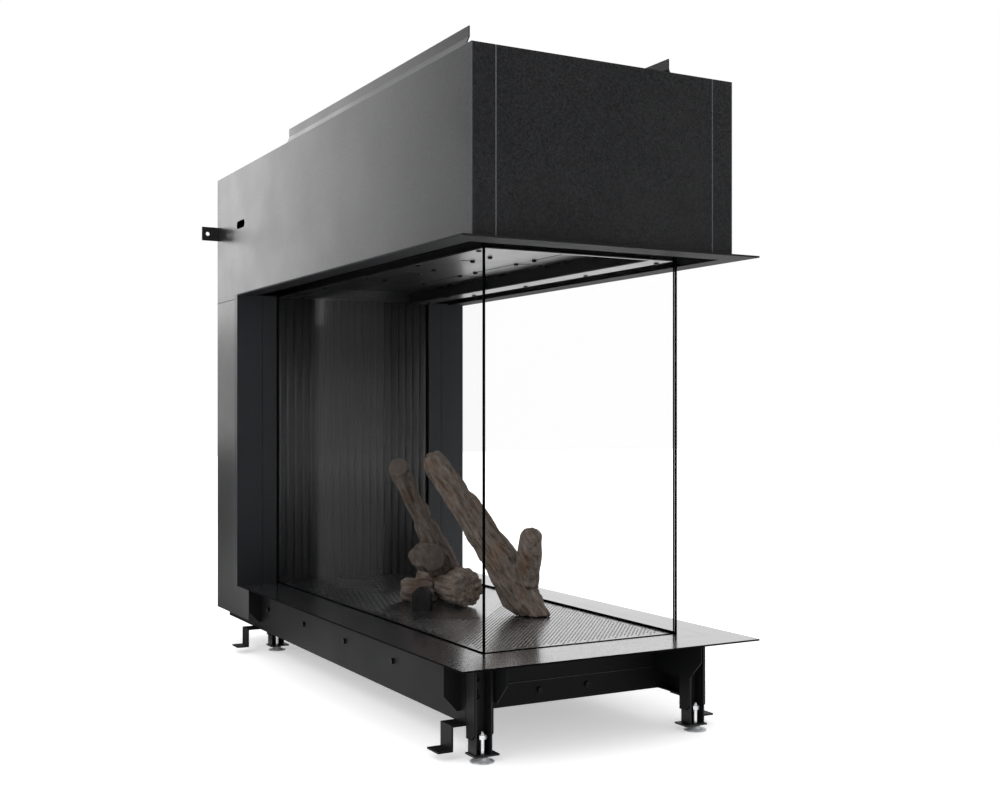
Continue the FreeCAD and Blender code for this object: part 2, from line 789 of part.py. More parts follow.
back_seam = [seam_at(s.burner_back_place, s.burner_back_side, y) for y in (-deck_half, deck_half)]
nose_seam = [seam_at(s.burner_nose_place, s.burner_nose_side, y) for y in (-deck_half, deck_half)]


def deck_piece(label, back, nose):
    """A deck plate between two slanting or square ends, given at -Y and +Y."""
    body = new_body(label)
    corners = [(back[0], -deck_half), (nose[0], -deck_half), (nose[1], deck_half), (back[1], deck_half)]
    pad(body, label + "_sheet", "XY_Plane", lambda sketch: polygon(sketch, corners),
        base_top, s.bottom_trim_level)
    return node(body)


deck_piece("deck_plate_back", (s.trim_back, s.trim_back), back_seam)
burner_plate = deck_piece("burner_plate", [x + s.seam for x in back_seam], nose_seam)
deck_piece("deck_plate_nose", [x + s.seam for x in nose_seam], (deck_nose, deck_nose))

slot_count = 4
ridge_turn = math.radians(140)
row_turn = math.radians(61)


def burner_slots(sketch):
    for index in range(slot_count):
        x = s.burner_slot_place + s.burner_slot_pitch * (index * math.cos(row_turn))
        y = s.burner_slot_side + s.burner_slot_pitch * (index * math.sin(row_turn))
        reach_x = s.burner_slot_length * math.cos(ridge_turn) / 2
        reach_y = s.burner_slot_length * math.sin(ridge_turn) / 2
        slot(sketch, (x - reach_x, y - reach_y), (x + reach_x, y + reach_y), s.burner_slot_radius)


pocket(burner_plate, "burner_slots", "XY_Plane", burner_slots, base_top, s.bottom_trim_level)

# Burner tray under the base plate, with the gas inlet below it.
tray_x = (s.burner_tray_back, s.burner_tray_nose)
tray_wall_x = (tray_opening_x[0] - s.sheet, tray_opening_x[1] + s.sheet)
tray_wall_half = tray_opening_half + s.sheet
tray_low = base_low - s.burner_tray_depth


def tray_lip(sketch):
    rectangle(sketch, tray_x, (-s.burner_tray_half, s.burner_tray_half))
    rectangle(sketch, tray_opening_x, (-tray_opening_half, tray_opening_half))


def tray_walls(sketch):
    rectangle(sketch, tray_wall_x, (-tray_wall_half, tray_wall_half))
    rectangle(sketch, tray_opening_x, (-tray_opening_half, tray_opening_half))


burner_tray = new_body("burner_tray")
pad(burner_tray, "tray_lip", "XY_Plane", tray_lip, base_low - s.sheet, base_low)
pad(burner_tray, "tray_walls", "XY_Plane", tray_walls, tray_low + s.sheet, base_low - s.sheet)
pad(burner_tray, "tray_floor", "XY_Plane",
    lambda sketch: rectangle(sketch, tray_wall_x, (-tray_wall_half, tray_wall_half)),
    tray_low, tray_low + s.sheet)
node(burner_tray)

inlet_bore_share = 0.7
inlet_bore = s.inlet_radius * inlet_bore_share
node(revolve("gas_inlet", [
    (inlet_bore, tray_low),
    (s.inlet_radius, tray_low),
    (s.inlet_radius, tray_low - s.inlet_length),
    (inlet_bore, tray_low - s.inlet_length),
], (s.burner_tray_back + s.burner_tray_nose) / 2, zero))

# Pilot cover: a block with cut corners and a shallow window, turned to face along the ridges.
pilot_half = s.pilot_width / 2
pilot_cover = new_body("pilot_cover")
pad(pilot_cover, "pilot_block", "XZ_Plane", lambda sketch: polygon(sketch, [
    (-pilot_half, zero),
    (pilot_half, zero),
    (pilot_half, s.pilot_height - s.pilot_corner),
    (pilot_half - s.pilot_corner, s.pilot_height),
    (-pilot_half + s.pilot_corner, s.pilot_height),
    (-pilot_half, s.pilot_height - s.pilot_corner),
]), -s.pilot_depth / 2, s.pilot_depth / 2)
window_half = s.pilot_window / 2
window_low = (s.pilot_height - s.pilot_window) / 2
window_high = window_low + s.pilot_window
pocket(pilot_cover, "pilot_window", "XZ_Plane",
       lambda sketch: rectangle(sketch, (-window_half, window_half), (window_low, window_high)),
       -s.pilot_depth / 2, -s.pilot_depth / 2 + s.pilot_window_depth)
pilot_turn = 50
pilot_cover.Placement.Rotation = FreeCAD.Rotation(Vector(0, 0, 1), pilot_turn)
pilot_cover.setExpression("Placement.Base.x", s.pilot_place.text)
pilot_cover.setExpression("Placement.Base.y", s.pilot_side.text)
pilot_cover.setExpression("Placement.Base.z", s.bottom_trim_level.text)
node(pilot_cover)

# Base frame: skirts under the long sides, a beam behind the nose, and gussets under the flanges.
for name, side in SIDES:
    skirt_section = section_at_side(side, [
        (s.skirt_half, s.skirt_foot),
        (s.skirt_half, base_low),
        (skirt_inner, base_low),
        (skirt_inner, s.skirt_foot + s.sheet),
        (s.skirt_half - s.skirt_flange, s.skirt_foot + s.sheet),
        (s.skirt_half - s.skirt_flange, s.skirt_foot),
    ])
    body = new_body("skirt_" + name)
    pad(body, "skirt_sheet_" + name, "YZ_Plane",
        lambda sketch: polygon(sketch, skirt_section), back_inner, s.skirt_nose)
    node(body)

beam_low = s.skirt_foot + s.sheet
nose_beam = new_body("nose_beam")
pad(nose_beam, "nose_beam_sheet", "XZ_Plane", lambda sketch: polygon(sketch, [
    (s.beam_place - s.beam_flange, beam_low),
    (beam_front, beam_low),
    (beam_front, base_low),
    (s.beam_place, base_low),
    (s.beam_place, beam_low + s.sheet),
    (s.beam_place - s.beam_flange, beam_low + s.sheet),
]), -skirt_inner, skirt_inner)
node(nose_beam)

gussets = []
for name, side in SIDES:
    gusset_outline = section_at_side(side, [
        (s.skirt_half, base_low),
        (s.casing_half, base_low),
        (s.casing_half, s.gusset_corner),
        (s.skirt_half + s.gusset_toe, s.gusset_low),
        (s.skirt_half, s.gusset_low),
    ])
    for spot, place in (("front", s.gusset_front), ("back", s.column_front)):
        body = new_body("gusset_%s_%s" % (spot, name))
        pad(body, "gusset_sheet_%s_%s" % (spot, name), "YZ_Plane",
            lambda sketch: polygon(sketch, gusset_outline), place, place + s.sheet)
        gussets.append(body)
    body = new_body("nose_gusset_" + name)
    low, high = span(side, s.nose_gusset_half - s.sheet, s.nose_gusset_half)
    pad(body, "nose_gusset_sheet_" + name, "XZ_Plane", lambda sketch: polygon(sketch, [
        (beam_front, s.nose_gusset_low),
        (nose_inner - s.nose_gusset_chamfer, s.nose_gusset_low),
        (nose_inner, s.nose_gusset_low + s.nose_gusset_chamfer),
        (nose_inner, base_low),
        (beam_front, base_low),
    ]), low, high)
    gussets.append(body)
group("trim_gussets", gussets)

bolt_count = 4
skirt_bolts = []
for name, side in SIDES:
    for index in range(bolt_count):
        place = (s.skirt_bolt_first + s.skirt_bolt_pitch * index, s.skirt_half * side, s.skirt_bolt_level)
        skirt_bolts.append(hex_head("skirt_bolt_%s_%d" % (name, index), s.bolt_radius, s.bolt_head,
                                place, Vector(0, side, 0)))
    place = (beam_front, s.beam_bolt_side * side, s.beam_bolt_level)
    skirt_bolts.append(hex_head("beam_bolt_" + name, s.bolt_radius, s.bolt_head, place, Vector(1, 0, 0)))
group("frame_bolts", skirt_bolts)

# Floor brackets: bent strips under the skirts, each with a hole for a floor screw.
floor_brackets = []
for name, side in SIDES:
    bracket_top = s.skirt_foot - s.trim_thickness
    bracket_section = section_at_side(side, [
        (s.bracket_top_inner, bracket_top),
        (s.bracket_top_inner, s.skirt_foot),
        (s.bracket_drop + s.trim_thickness, s.skirt_foot),
        (s.bracket_drop + s.trim_thickness, s.bracket_level + s.trim_thickness),
        (s.bracket_foot, s.bracket_level + s.trim_thickness),
        (s.bracket_foot, s.bracket_level),
        (s.bracket_drop, s.bracket_level),
        (s.bracket_drop, bracket_top),
    ])
    for spot, place in (("front", s.bracket_front), ("back", s.bracket_back)):
        label = "floor_bracket_%s_%s" % (spot, name)
        hole = (place + s.bracket_width / 2, (s.bracket_foot - s.bracket_hole_inset) * side)
        body = new_body(label)
        pad(body, label + "_strip", "YZ_Plane",
            lambda sketch: polygon(sketch, bracket_section), place, place + s.bracket_width)
        pocket(body, label + "_hole", "XY_Plane",
               lambda sketch: circle(sketch, hole, s.bracket_hole_radius),
               s.bracket_level, s.bracket_level + s.trim_thickness)
        floor_brackets.append(body)
group("floor_brackets", floor_brackets)

# Four legs that telescope in fixed guides, each on a levelling foot.
leg_half = s.leg_width / 2
leg_reach = s.leg_depth / 2
guide_inner = leg_half + s.slide_gap
guide_outer = guide_inner + s.sheet
guide_web = -leg_reach - s.slide_gap
foot_plate_top = s.foot_plate_level + s.trim_thickness
keyhole_count = 2
hex_share = 1 / math.sqrt(3)


def channel(sketch, web_rear, web_front, inner, outer):
    """A U section, open towards +X."""
    polygon(sketch, [
        (web_rear, -outer),
        (leg_reach, -outer),
        (leg_reach, -inner),
        (web_front, -inner),
        (web_front, inner),
        (leg_reach, inner),
        (leg_reach, outer),
        (web_rear, outer),
    ])


def stand_at(body, x, y):
    body.setExpression("Placement.Base.x", x.text)
    body.setExpression("Placement.Base.y", y.text)


def make_guide(label, x, y):
    body = new_body(label)
    pad(body, label + "_channel", "XY_Plane",
        lambda sketch: channel(sketch, guide_web - s.sheet, guide_web, guide_inner, guide_outer),
        s.guide_foot, base_low)
    pocket(body, label + "_corners", "XZ_Plane", lambda sketch: polygon(sketch, [
        (leg_reach, s.guide_foot),
        (leg_reach, s.guide_foot + s.guide_corner),
        (leg_reach - s.guide_corner, s.guide_foot),
    ]), -guide_outer, guide_outer)
    stand_at(body, x, y)
    return body


def make_leg(label, x, y, side):
    body = new_body(label)
    web_front = -leg_reach + s.sheet
    pad(body, label + "_channel", "XY_Plane",
        lambda sketch: channel(sketch, -leg_reach, web_front, leg_half - s.sheet, leg_half),
        foot_plate_top, s.leg_top)

    def foot_plate(sketch):
        across = span(side, -s.foot_plate_inner, s.foot_plate_outer)
        rectangle(sketch, (-leg_reach - s.foot_plate_over, leg_reach + s.foot_plate_over), across)
        circle(sketch, (s.stud_offset, zero), s.stud_radius + s.slide_gap)

    pad(body, label + "_foot_plate", "XY_Plane", foot_plate, s.foot_plate_level, foot_plate_top)
    eye = pocket(body, label + "_keyhole_eye", "YZ_Plane",
                 lambda sketch: circle(sketch, (zero, s.keyhole_level), s.keyhole_radius),
                 -leg_reach, web_front)
    low_end = (zero, s.keyhole_level)
    high_end = (zero, s.keyhole_level + s.keyhole_slot_length)
    neck = pocket(body, label + "_keyhole_neck", "YZ_Plane",
                  lambda sketch: slot(sketch, low_end, high_end, s.keyhole_slot_radius),
                  -leg_reach, web_front)
    repeat(body, label + "_keyholes", [eye, neck], "Z_Axis", s.keyhole_pitch * (keyhole_count - 1),
           keyhole_count)
    stand_at(body, x, y)
    return body


def point(x, y, z):
    return Vector(x.value, y.value, z.value)


def flat_face(*points):
    return Part.Face(Part.makePolygon([*points, points[0]]))


def skin_solid(rings):
    """A solid with a skin of flat triangles from ring to ring and a flat face at each end."""
    faces = [flat_face(*rings[0]), flat_face(*rings[-1])]
    for near, far in zip(rings, rings[1:]):
        for index in range(len(near)):
            following = (index + 1) % len(near)
            faces.append(flat_face(near[index], near[following], far[following]))
            faces.append(flat_face(near[index], far[following], far[index]))
    solid = Part.makeSolid(Part.makeShell(faces))
    if solid.Volume < 0:
        solid.reverse()
    return solid


def many_sided(sides, rings, x, y):
    """A turned shape with flat sides, through outlines given as radius and height."""
    outlines = []
    for radius, level in rings:
        middle = point(x, y, level)
        outline = []
        for index in range(sides):
            turn = 2 * math.pi * index / sides
            outline.append(middle + Vector(math.cos(turn), math.sin(turn), 0) * radius.value)
        outlines.append(outline)
    return skin_solid(outlines)


def shape_node(label, shape):
    feature = doc.addObject("Part::Feature", label)
    feature.Shape = shape
    return node(feature)


def make_pad(label, x, y):
    shape_node(label, many_sided(36, [
        (s.pad_radius, zero),
        (s.pad_radius, s.pad_rim),
        (s.pad_neck_radius, s.pad_height),
    ], x, y))


def make_stud(label, x, y):
    shaft = many_sided(24, [
        (s.stud_radius, s.pad_height),
        (s.stud_radius, s.stud_tip - s.stud_dome),
        (s.stud_radius / 2, s.stud_tip),
    ], x, y)
    nut_radius = s.hex_flats * hex_share
    nut = many_sided(6, [(nut_radius, s.hex_low), (nut_radius, s.hex_low + s.hex_height)], x, y)
    shape_node(label, shaft.fuse(nut))


guides = []
for name, side in SIDES:
    for spot, x, half in (("front", s.front_leg_place, s.front_leg_half),
                          ("back", s.back_leg_place, s.back_leg_half)):
        label = "%s_%s" % (spot, name)
        y = half * side
        guides.append(make_guide("guide_" + label, x, y))
        node(make_leg("leg_" + label, x, y, side))
        make_pad("foot_pad_" + label, x + s.stud_offset, y)
        make_stud("foot_stud_" + label, x + s.stud_offset, y)
group("leg_guides", guides)

# Ceramic logs: lofts through uneven rings along a bent axis.
ring_shares = (1.0, 0.95, 1.03, 0.98, 0.93, 1.04, 1.0, 0.94, 1.05, 0.97, 1.02, 0.92)


def ring(centre, along, radius, turn, facing):
    """An uneven closed ring round an axis, in a plane that faces one way; turn shifts its bumps."""
    across = along.cross(Vector(0, 0, 1)) if abs(along.z) < 0.9 else along.cross(Vector(1, 0, 0))
    across.normalize()
    up = across.cross(along)
    count = len(ring_shares)
    points = []
    for index in range(count):
        angle = 2 * math.pi * index / count
        reach = radius * ring_shares[(index + turn) % count]
        offset = across * (reach * math.cos(angle)) + up * (reach * math.sin(angle))
        slide = -facing.dot(offset) / facing.dot(along)
        points.append(centre + offset + along * slide)
    return points


def log_solid(start, end, radius, stations, end_facing=None):
    """A log from start to end; stations give share along, share of radius, and bend shares.

    The end is cut square, or so that its face looks the given way.
    """
    axis = end - start
    along = Vector(axis).normalize()
    across = along.cross(Vector(0, 0, 1)).normalize()
    up = across.cross(along)
    rings = []
    for index, (share, radius_share, across_share, up_share) in enumerate(stations):
        centre = start + axis * share
        centre = centre + across * (radius * across_share) + up * (radius * up_share)
        is_cut = end_facing is not None and index == len(stations) - 1
        facing = end_facing if is_cut else along
        rings.append(ring(centre, along, radius * radius_share, index // 3, facing))
    return skin_solid(rings)


deck_top = s.bottom_trim_level
deck_block = Part.makeBox((s.trim_nose - s.trim_back).value, (s.trim_half * 2).value, deck_top.value,
                          point(s.trim_back, -s.trim_half, zero))

# Stations of each log: share along, share of the radius, bend across and bend up.
forked_shares = ((-0.1, 0.72, 0, 0), (0.02, 0.8, 0, 0), (0.13, 1.12, 0, 0), (0.25, 1.15, 0.05, 0.05),
                 (0.4, 0.98, 0.05, 0.12), (0.6, 0.86, 0, 0.1), (0.8, 0.72, -0.05, 0.04), (0.94, 0.66, 0, 0),
                 (1.0, 0.5, 0, 0), (1.02, 0.25, 0, 0))
fork_shares = ((-0.2, 1.2, 0, 0), (0.1, 1.12, 0, 0), (0.4, 1.0, 0, -0.05), (0.75, 0.95, 0, 0),
               (0.93, 0.88, 0, 0), (1.0, 0.65, 0, 0), (1.03, 0.35, 0, 0))
leaning_shares = ((0.0, 0.82, 0, 0), (0.14, 0.8, 0, 0), (0.3, 0.68, 0.06, 0), (0.5, 0.53, 0.1, 0.05),
                  (0.75, 0.5, 0.05, 0.04), (1.0, 0.5, 0, 0))
stub_shares = ((-0.3, 0.5, 0, 0), (-0.12, 0.85, 0, 0), (0.25, 1.0, 0, 0), (0.7, 1.02, 0, 0),
               (1.0, 0.95, 0, 0))
cross_shares = ((0.0, 0.9, 0, 0), (0.04, 1.0, 0, 0), (0.2, 1.0, 0, 0), (0.5, 0.92, 0.04, -0.04),
                (0.8, 0.84, 0, -0.1), (1.0, 0.79, 0, -0.14))
short_shares = ((0.0, 0.92, 0, 0), (0.06, 1.0, 0, 0), (0.35, 1.0, 0, 0), (0.7, 0.96, 0, 0), (1.0, 0.92, 0, 0))

# The top of the leaning log is sawn at a slant, its face towards the nose and the right.
leaning_facing = Vector(0.46, -0.57, 0.69)

forked_start = point(s.forked_base_place, s.forked_base_side, deck_top)
forked_end = point(s.forked_top_place, s.forked_top_side, s.forked_top_level)
fork_start = point(s.fork_root_place, s.fork_root_side, s.fork_root_level)
fork_end = point(s.fork_tip_place, s.fork_tip_side, s.fork_tip_level)
forked = log_solid(forked_start, forked_end, s.forked_radius.value, forked_shares)
forked = forked.fuse(log_solid(fork_start, fork_end, s.fork_radius.value, fork_shares))
shape_node("forked_log", forked.cut(deck_block))


def cross_log(clearance):
    """The lying log, or the room that it needs with a clearance all round."""
    level = deck_top + s.cross_radius
    start = point(s.cross_nose_place + clearance, s.cross_side, level)
    end = point(s.cross_back_place - clearance, s.cross_side, level)
    return log_solid(start, end, (s.cross_radius + clearance).value, cross_shares)


shape_node("cross_log", cross_log(zero).cut(deck_block))
cross_room = cross_log(s.log_clearance)

leaning_start = point(s.leaning_base_place, s.leaning_base_side, s.leaning_base_level)
leaning_end = point(s.leaning_top_place, s.leaning_top_side, s.leaning_top_level)
stub_end = point(s.stub_place, s.stub_side, s.stub_level)
stub_start = point(s.stub_root_place, s.stub_root_side, s.stub_root_level)
leaning = log_solid(leaning_start, leaning_end, s.leaning_radius.value, leaning_shares, leaning_facing)
leaning = leaning.fuse(log_solid(stub_start, stub_end, s.stub_radius.value, stub_shares))
shape_node("leaning_log", leaning.cut(cross_room).cut(deck_block))

short_level = deck_top + s.short_radius
short_start = point(s.short_outer_place, s.short_outer_side, short_level)
short_end = point(s.short_inner_place, s.short_inner_side, short_level)
short = log_solid(short_start, short_end, s.short_radius.value, short_shares)
shape_node("short_log", short.cut(cross_room).cut(deck_block))

# Every object must have come out right before anything is written.
doc.recompute()
for item in doc.Objects:
    if "Invalid" in item.State or "Error" in item.State:
        raise RuntimeError("%s failed: %s" % (item.Label, item.State))
for piece in nodes:
    if piece.Shape.isNull() or not piece.Shape.isValid():
        raise RuntimeError(piece.Label + " has no valid shape")

os.makedirs("parts", exist_ok=True)
for piece in nodes:
    piece.Shape.exportStep("parts/%s.step" % piece.Label)
    print("%-24s %d solids, %.1f cm3" % (piece.Label, len(piece.Shape.Solids), piece.Shape.Volume / 1000))
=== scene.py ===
import math

import bpy
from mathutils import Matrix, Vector, geometry, noise


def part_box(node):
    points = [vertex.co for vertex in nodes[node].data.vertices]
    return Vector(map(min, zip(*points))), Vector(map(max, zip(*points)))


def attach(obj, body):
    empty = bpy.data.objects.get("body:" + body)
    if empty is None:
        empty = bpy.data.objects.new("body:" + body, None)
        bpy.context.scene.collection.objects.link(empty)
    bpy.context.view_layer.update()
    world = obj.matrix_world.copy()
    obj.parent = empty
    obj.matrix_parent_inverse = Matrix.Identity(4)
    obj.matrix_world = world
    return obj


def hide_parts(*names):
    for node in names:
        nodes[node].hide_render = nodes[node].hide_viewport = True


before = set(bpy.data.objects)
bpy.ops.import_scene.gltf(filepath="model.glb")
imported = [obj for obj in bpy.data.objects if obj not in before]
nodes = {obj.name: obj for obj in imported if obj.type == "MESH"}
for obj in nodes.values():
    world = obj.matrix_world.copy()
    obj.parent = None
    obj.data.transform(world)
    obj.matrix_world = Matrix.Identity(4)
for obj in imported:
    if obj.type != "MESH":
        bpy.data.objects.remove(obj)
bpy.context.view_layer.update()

scene = bpy.context.scene
scene.view_settings.view_transform = "Standard"

# The two long sides: the sign of y, and the word in names.
sides = ((1, "left"), (-1, "right"))


class Tree:
    """The node tree of a material or world, with short helpers for nodes and links."""

    def __init__(self, owner, shader="Principled BSDF"):
        owner.use_nodes = True
        self.owner = owner
        self.nodes = owner.node_tree.nodes
        self.links = owner.node_tree.links
        self.shader = self.nodes[shader]

    def add(self, kind, **values):
        item = self.nodes.new(kind)
        for key, value in values.items():
            setattr(item, key, value)
        return item

    def link(self, source, target):
        self.links.new(source, target)

    def setting(self, socket, value):
        """Gives a shader socket one value all over."""
        self.shader.inputs[socket].default_value = value

    def feed(self, socket, source):
        """Lets a node's output drive a shader socket."""
        self.link(source, self.shader.inputs[socket])

    def coordinates(self, scale=(1, 1, 1), rotation=(0, 0, 0)):
        """Object coordinates in metres, turned and then scaled."""
        place = self.add("ShaderNodeTexCoord")
        turn = self.add("ShaderNodeMapping")
        turn.inputs["Rotation"].default_value = rotation
        self.link(place.outputs["Object"], turn.inputs["Vector"])
        stretch = self.add("ShaderNodeVectorMath", operation="MULTIPLY")
        stretch.inputs[1].default_value = scale
        self.link(turn.outputs["Vector"], stretch.inputs[0])
        return stretch.outputs["Vector"]

    def height(self):
        """Height above the floor in metres, with the object at rest."""
        place = self.add("ShaderNodeTexCoord")
        parts = self.add("ShaderNodeSeparateXYZ")
        self.link(place.outputs["Object"], parts.inputs["Vector"])
        return parts.outputs["Z"]

    def edge(self, axis):
        """1 on the edges of a sheet that an axis passes squarely through, and 0 on its two faces."""
        surface = self.add("ShaderNodeNewGeometry")
        parts = self.add("ShaderNodeSeparateXYZ")
        self.link(surface.outputs["True Normal"], parts.inputs["Vector"])
        return self.math("LESS_THAN", self.math("ABSOLUTE", parts.outputs[axis], 0), 0.5)

    def seen(self):
        """1 for rays that show a surface to the camera, straight, mirrored or through glass, and else 0."""
        path = self.add("ShaderNodeLightPath")
        shown = self.math("MAXIMUM", path.outputs["Is Camera Ray"], path.outputs["Is Glossy Ray"])
        return self.math("MAXIMUM", shown, path.outputs["Is Transmission Ray"])

    def noise(self, vector, scale, detail=4.0, roughness=0.55):
        item = self.add("ShaderNodeTexNoise")
        item.inputs["Scale"].default_value = scale
        item.inputs["Detail"].default_value = detail
        item.inputs["Roughness"].default_value = roughness
        self.link(vector, item.inputs["Vector"])
        return item.outputs["Fac"]

    def ramp(self, factor, stops):
        """Colours at places along a factor, as (place, colour) pairs."""
        item = self.add("ShaderNodeValToRGB")
        while len(item.color_ramp.elements) < len(stops):
            item.color_ramp.elements.new(0.5)
        for element, (position, colour) in zip(item.color_ramp.elements, stops):
            element.position = position
            element.color = (*colour, 1)
        self.link(factor, item.inputs["Fac"])
        return item.outputs["Color"]

    def grey(self, factor, low, high, start=0.3, end=0.7):
        """A value that goes from low to high while a factor goes from start to end."""
        item = self.add("ShaderNodeMapRange")
        item.inputs["From Min"].default_value = start
        item.inputs["From Max"].default_value = end
        item.inputs["To Min"].default_value = low
        item.inputs["To Max"].default_value = high
        self.link(factor, item.inputs["Value"])
        return item.outputs["Result"]

    def between(self, mask, off, on):
        """The value off where a mask is 0, and on where it is 1."""
        return self.grey(mask, off, on, start=0.0, end=1.0)

    def math(self, operation, first, second):
        item = self.add("ShaderNodeMath", operation=operation)
        for socket, value in zip(item.inputs, (first, second)):
            if isinstance(value, (int, float)):
                socket.default_value = value
            else:
                self.link(value, socket)
        return item.outputs["Value"]

    def mix(self, factor, first, second):
        """The first colour where a factor is 0, the second where it is 1; a colour may be a plain tuple."""
        item = self.add("ShaderNodeMix", data_type="RGBA")
        self.link(factor, item.inputs[0])
        for socket, value in ((item.inputs[6], first), (item.inputs[7], second)):
            if isinstance(value, tuple):
                socket.default_value = (*value, 1)
            else:
                self.link(value, socket)
        return item.outputs[2]

    def bump(self, height, strength, distance):
        item = self.add("ShaderNodeBump")
        item.inputs["Strength"].default_value = strength
        item.inputs["Distance"].default_value = distance
        self.link(height, item.inputs["Height"])
        self.feed("Normal", item.outputs["Normal"])


def new_material(name):
    """The node tree of a new material."""
    return Tree(bpy.data.materials.new(name))


def powder_coat(name, dark, light, rough, grain, specular, bump=0):
    """Powder-coated steel: a speckled skin with slow patches of sheen."""
    tree = new_material(name)
    place = tree.coordinates()
    speck = tree.noise(place, scale=grain, detail=3.0)
    patch = tree.noise(place, scale=6.0, detail=3.0)
    tree.feed("Base Color", tree.ramp(speck, ((0.35, dark), (0.7, light))))
    tree.feed("Roughness", tree.grey(patch, low=rough - 0.03, high=rough + 0.04))
    tree.setting("Specular IOR Level", specular)
    if bump:
        tree.bump(speck, strength=bump, distance=0.0004)
    return tree.owner


def trim_material():
    """Flat flanges: a glossy dark coat with faint clouds; their sheared edges are dull, and painted near
    black as painted shade.
    """
    face_dark = (0.021, 0.0217, 0.0235)
    face_light = (0.026, 0.0268, 0.029)
    # The sheared edges are painted near black: painted shade that stands in for the dark line under the
    # flange.
    edge_shade_colour = (0.004, 0.004, 0.0045)
    tree = new_material("satin_trim")
    cloud = tree.noise(tree.coordinates(), scale=24, detail=2.0)
    patch = tree.noise(tree.coordinates(), scale=9.0, detail=3.0)
    edge = tree.edge(axis=2)
    face = tree.ramp(cloud, ((0.35, face_dark), (0.7, face_light)))
    tree.feed("Base Color", tree.mix(edge, face, edge_shade_colour))
    face_rough = tree.grey(patch, low=0.2, high=0.26)
    edge_rough = tree.math("MULTIPLY", edge, 0.9)
    tree.feed("Roughness", tree.math("MAXIMUM", face_rough, edge_rough))
    tree.feed("Specular IOR Level", tree.between(edge, off=1.0, on=0.04))
    tree.feed("Coat Weight", tree.between(edge, off=1.0, on=0.0))
    tree.setting("Coat Roughness", 0.17)
    tree.setting("Coat IOR", 1.6)
    return tree.owner


def zinc_material():
    """Zinc-plated steel: bright, with soft mottled spangle and fine scratches."""
    tree = new_material("zinc_steel")
    mottle = tree.noise(tree.coordinates(), scale=160)
    scratch = tree.noise(tree.coordinates(scale=(1, 1, 14)), scale=240, detail=2.0)
    tree.feed("Base Color", tree.ramp(mottle, ((0.3, (0.62, 0.63, 0.65)), (0.7, (0.86, 0.87, 0.88)))))
    tree.feed("Roughness", tree.grey(scratch, low=0.24, high=0.38))
    tree.setting("Metallic", 1.0)
    tree.bump(scratch, strength=0.08, distance=0.0003)
    return tree.owner


def pad_material():
    """Bright-plated foot pad: partly metal, partly a milky passivated skin."""
    tree = new_material("pad_plate")
    mottle = tree.noise(tree.coordinates(), scale=140)
    tree.feed("Base Color", tree.ramp(mottle, ((0.3, (0.50, 0.51, 0.53)), (0.7, (0.70, 0.71, 0.73)))))
    tree.feed("Roughness", tree.grey(mottle, low=0.28, high=0.4))
    tree.setting("Metallic", 0.35)
    tree.bump(mottle, strength=0.05, distance=0.0003)
    return tree.owner


def deck_material():
    """Deck sheet: glossy black steel with cloudy wear from cleaning."""
    tree = new_material("deck_steel")
    wear = tree.noise(tree.coordinates(), scale=40)
    tree.feed("Base Color", tree.ramp(wear, ((0.3, (0.016, 0.0165, 0.018)), (0.75, (0.03, 0.031, 0.034)))))
    tree.feed("Roughness", tree.grey(wear, low=0.27, high=0.33))
    tree.setting("Specular IOR Level", 1.0)
    tree.setting("Coat Weight", 1.0)
    tree.setting("Coat Roughness", 0.18)
    tree.setting("Coat IOR", 1.9)
    return tree.owner


def glass_material(name, across, seal_top, shine):
    """Clear pane with faint haze, dark edges and a dark seal at its foot; across is the axis through it."""
    clear_colour = (0.02, 0.021, 0.022)
    solid_colour = (0.0015, 0.0018, 0.0018)
    tree = new_material(name)
    haze = tree.noise(tree.coordinates(), scale=9)
    edge = tree.edge(axis=across)
    seal = tree.math("LESS_THAN", tree.height(), seal_top)
    solid = tree.math("MAXIMUM", edge, seal)
    slant = tree.add("ShaderNodeLayerWeight")
    mirror = tree.between(tree.math("POWER", slant.outputs["Facing"], 5.0), off=0.0, on=shine)
    veil = tree.math("ADD", mirror, tree.grey(haze, low=0.0015, high=0.003))
    tree.feed("Alpha", tree.math("MAXIMUM", veil, solid))
    tree.feed("Base Color", tree.mix(solid, clear_colour, solid_colour))
    tree.feed("Roughness", tree.between(solid, off=0.05, on=1.0))
    tree.feed("Specular IOR Level", tree.between(solid, off=0.5, on=0.0))
    return tree.owner


def log_material(name, axis, painted_light_tone):
    """Ceramic log painted as weathered wood: streaked bark, dark fissures and warm worn patches."""
    # Every colour is scaled by the log's tone, which brightens or darkens the whole log to stand in for how
    # much light reaches it: painted light and shade.
    def shade(*colour):
        return tuple(painted_light_tone * part for part in colour)

    fissure_colour = (0.010, 0.007, 0.005)
    tree = new_material(name)
    turn = axis.to_track_quat("Z", "Y").inverted().to_euler()
    along = tree.coordinates(scale=(1, 1, 0.2), rotation=turn)
    streak = tree.noise(along, scale=110, detail=6.0, roughness=0.65)
    fissure = tree.noise(along, scale=300, detail=5.0, roughness=0.6)
    patch = tree.noise(tree.coordinates(), scale=26, detail=5.0, roughness=0.6)
    bark = tree.ramp(streak, (
        (0.3, shade(0.034, 0.025, 0.019)),
        (0.42, shade(0.088, 0.070, 0.058)),
        (0.55, shade(0.132, 0.108, 0.093)),
        (0.72, shade(0.19, 0.163, 0.145)),
    ))
    fissured = tree.grey(fissure, low=0.85, high=0.0, start=0.33, end=0.43)
    bark = tree.mix(fissured, bark, fissure_colour)
    warm = tree.ramp(streak, ((0.3, shade(0.035, 0.020, 0.012)), (0.7, shade(0.155, 0.095, 0.058))))
    worn = tree.grey(patch, low=0.0, high=0.75, start=0.5, end=0.66)
    tree.feed("Base Color", tree.mix(worn, bark, warm))
    tree.feed("Roughness", tree.grey(patch, low=0.82, high=0.95))
    tree.setting("Specular IOR Level", 0.25)
    height = tree.math("ADD", tree.math("MULTIPLY", streak, 0.7), tree.math("MULTIPLY", fissure, 0.4))
    tree.bump(height, strength=0.8, distance=0.003)
    return tree.owner


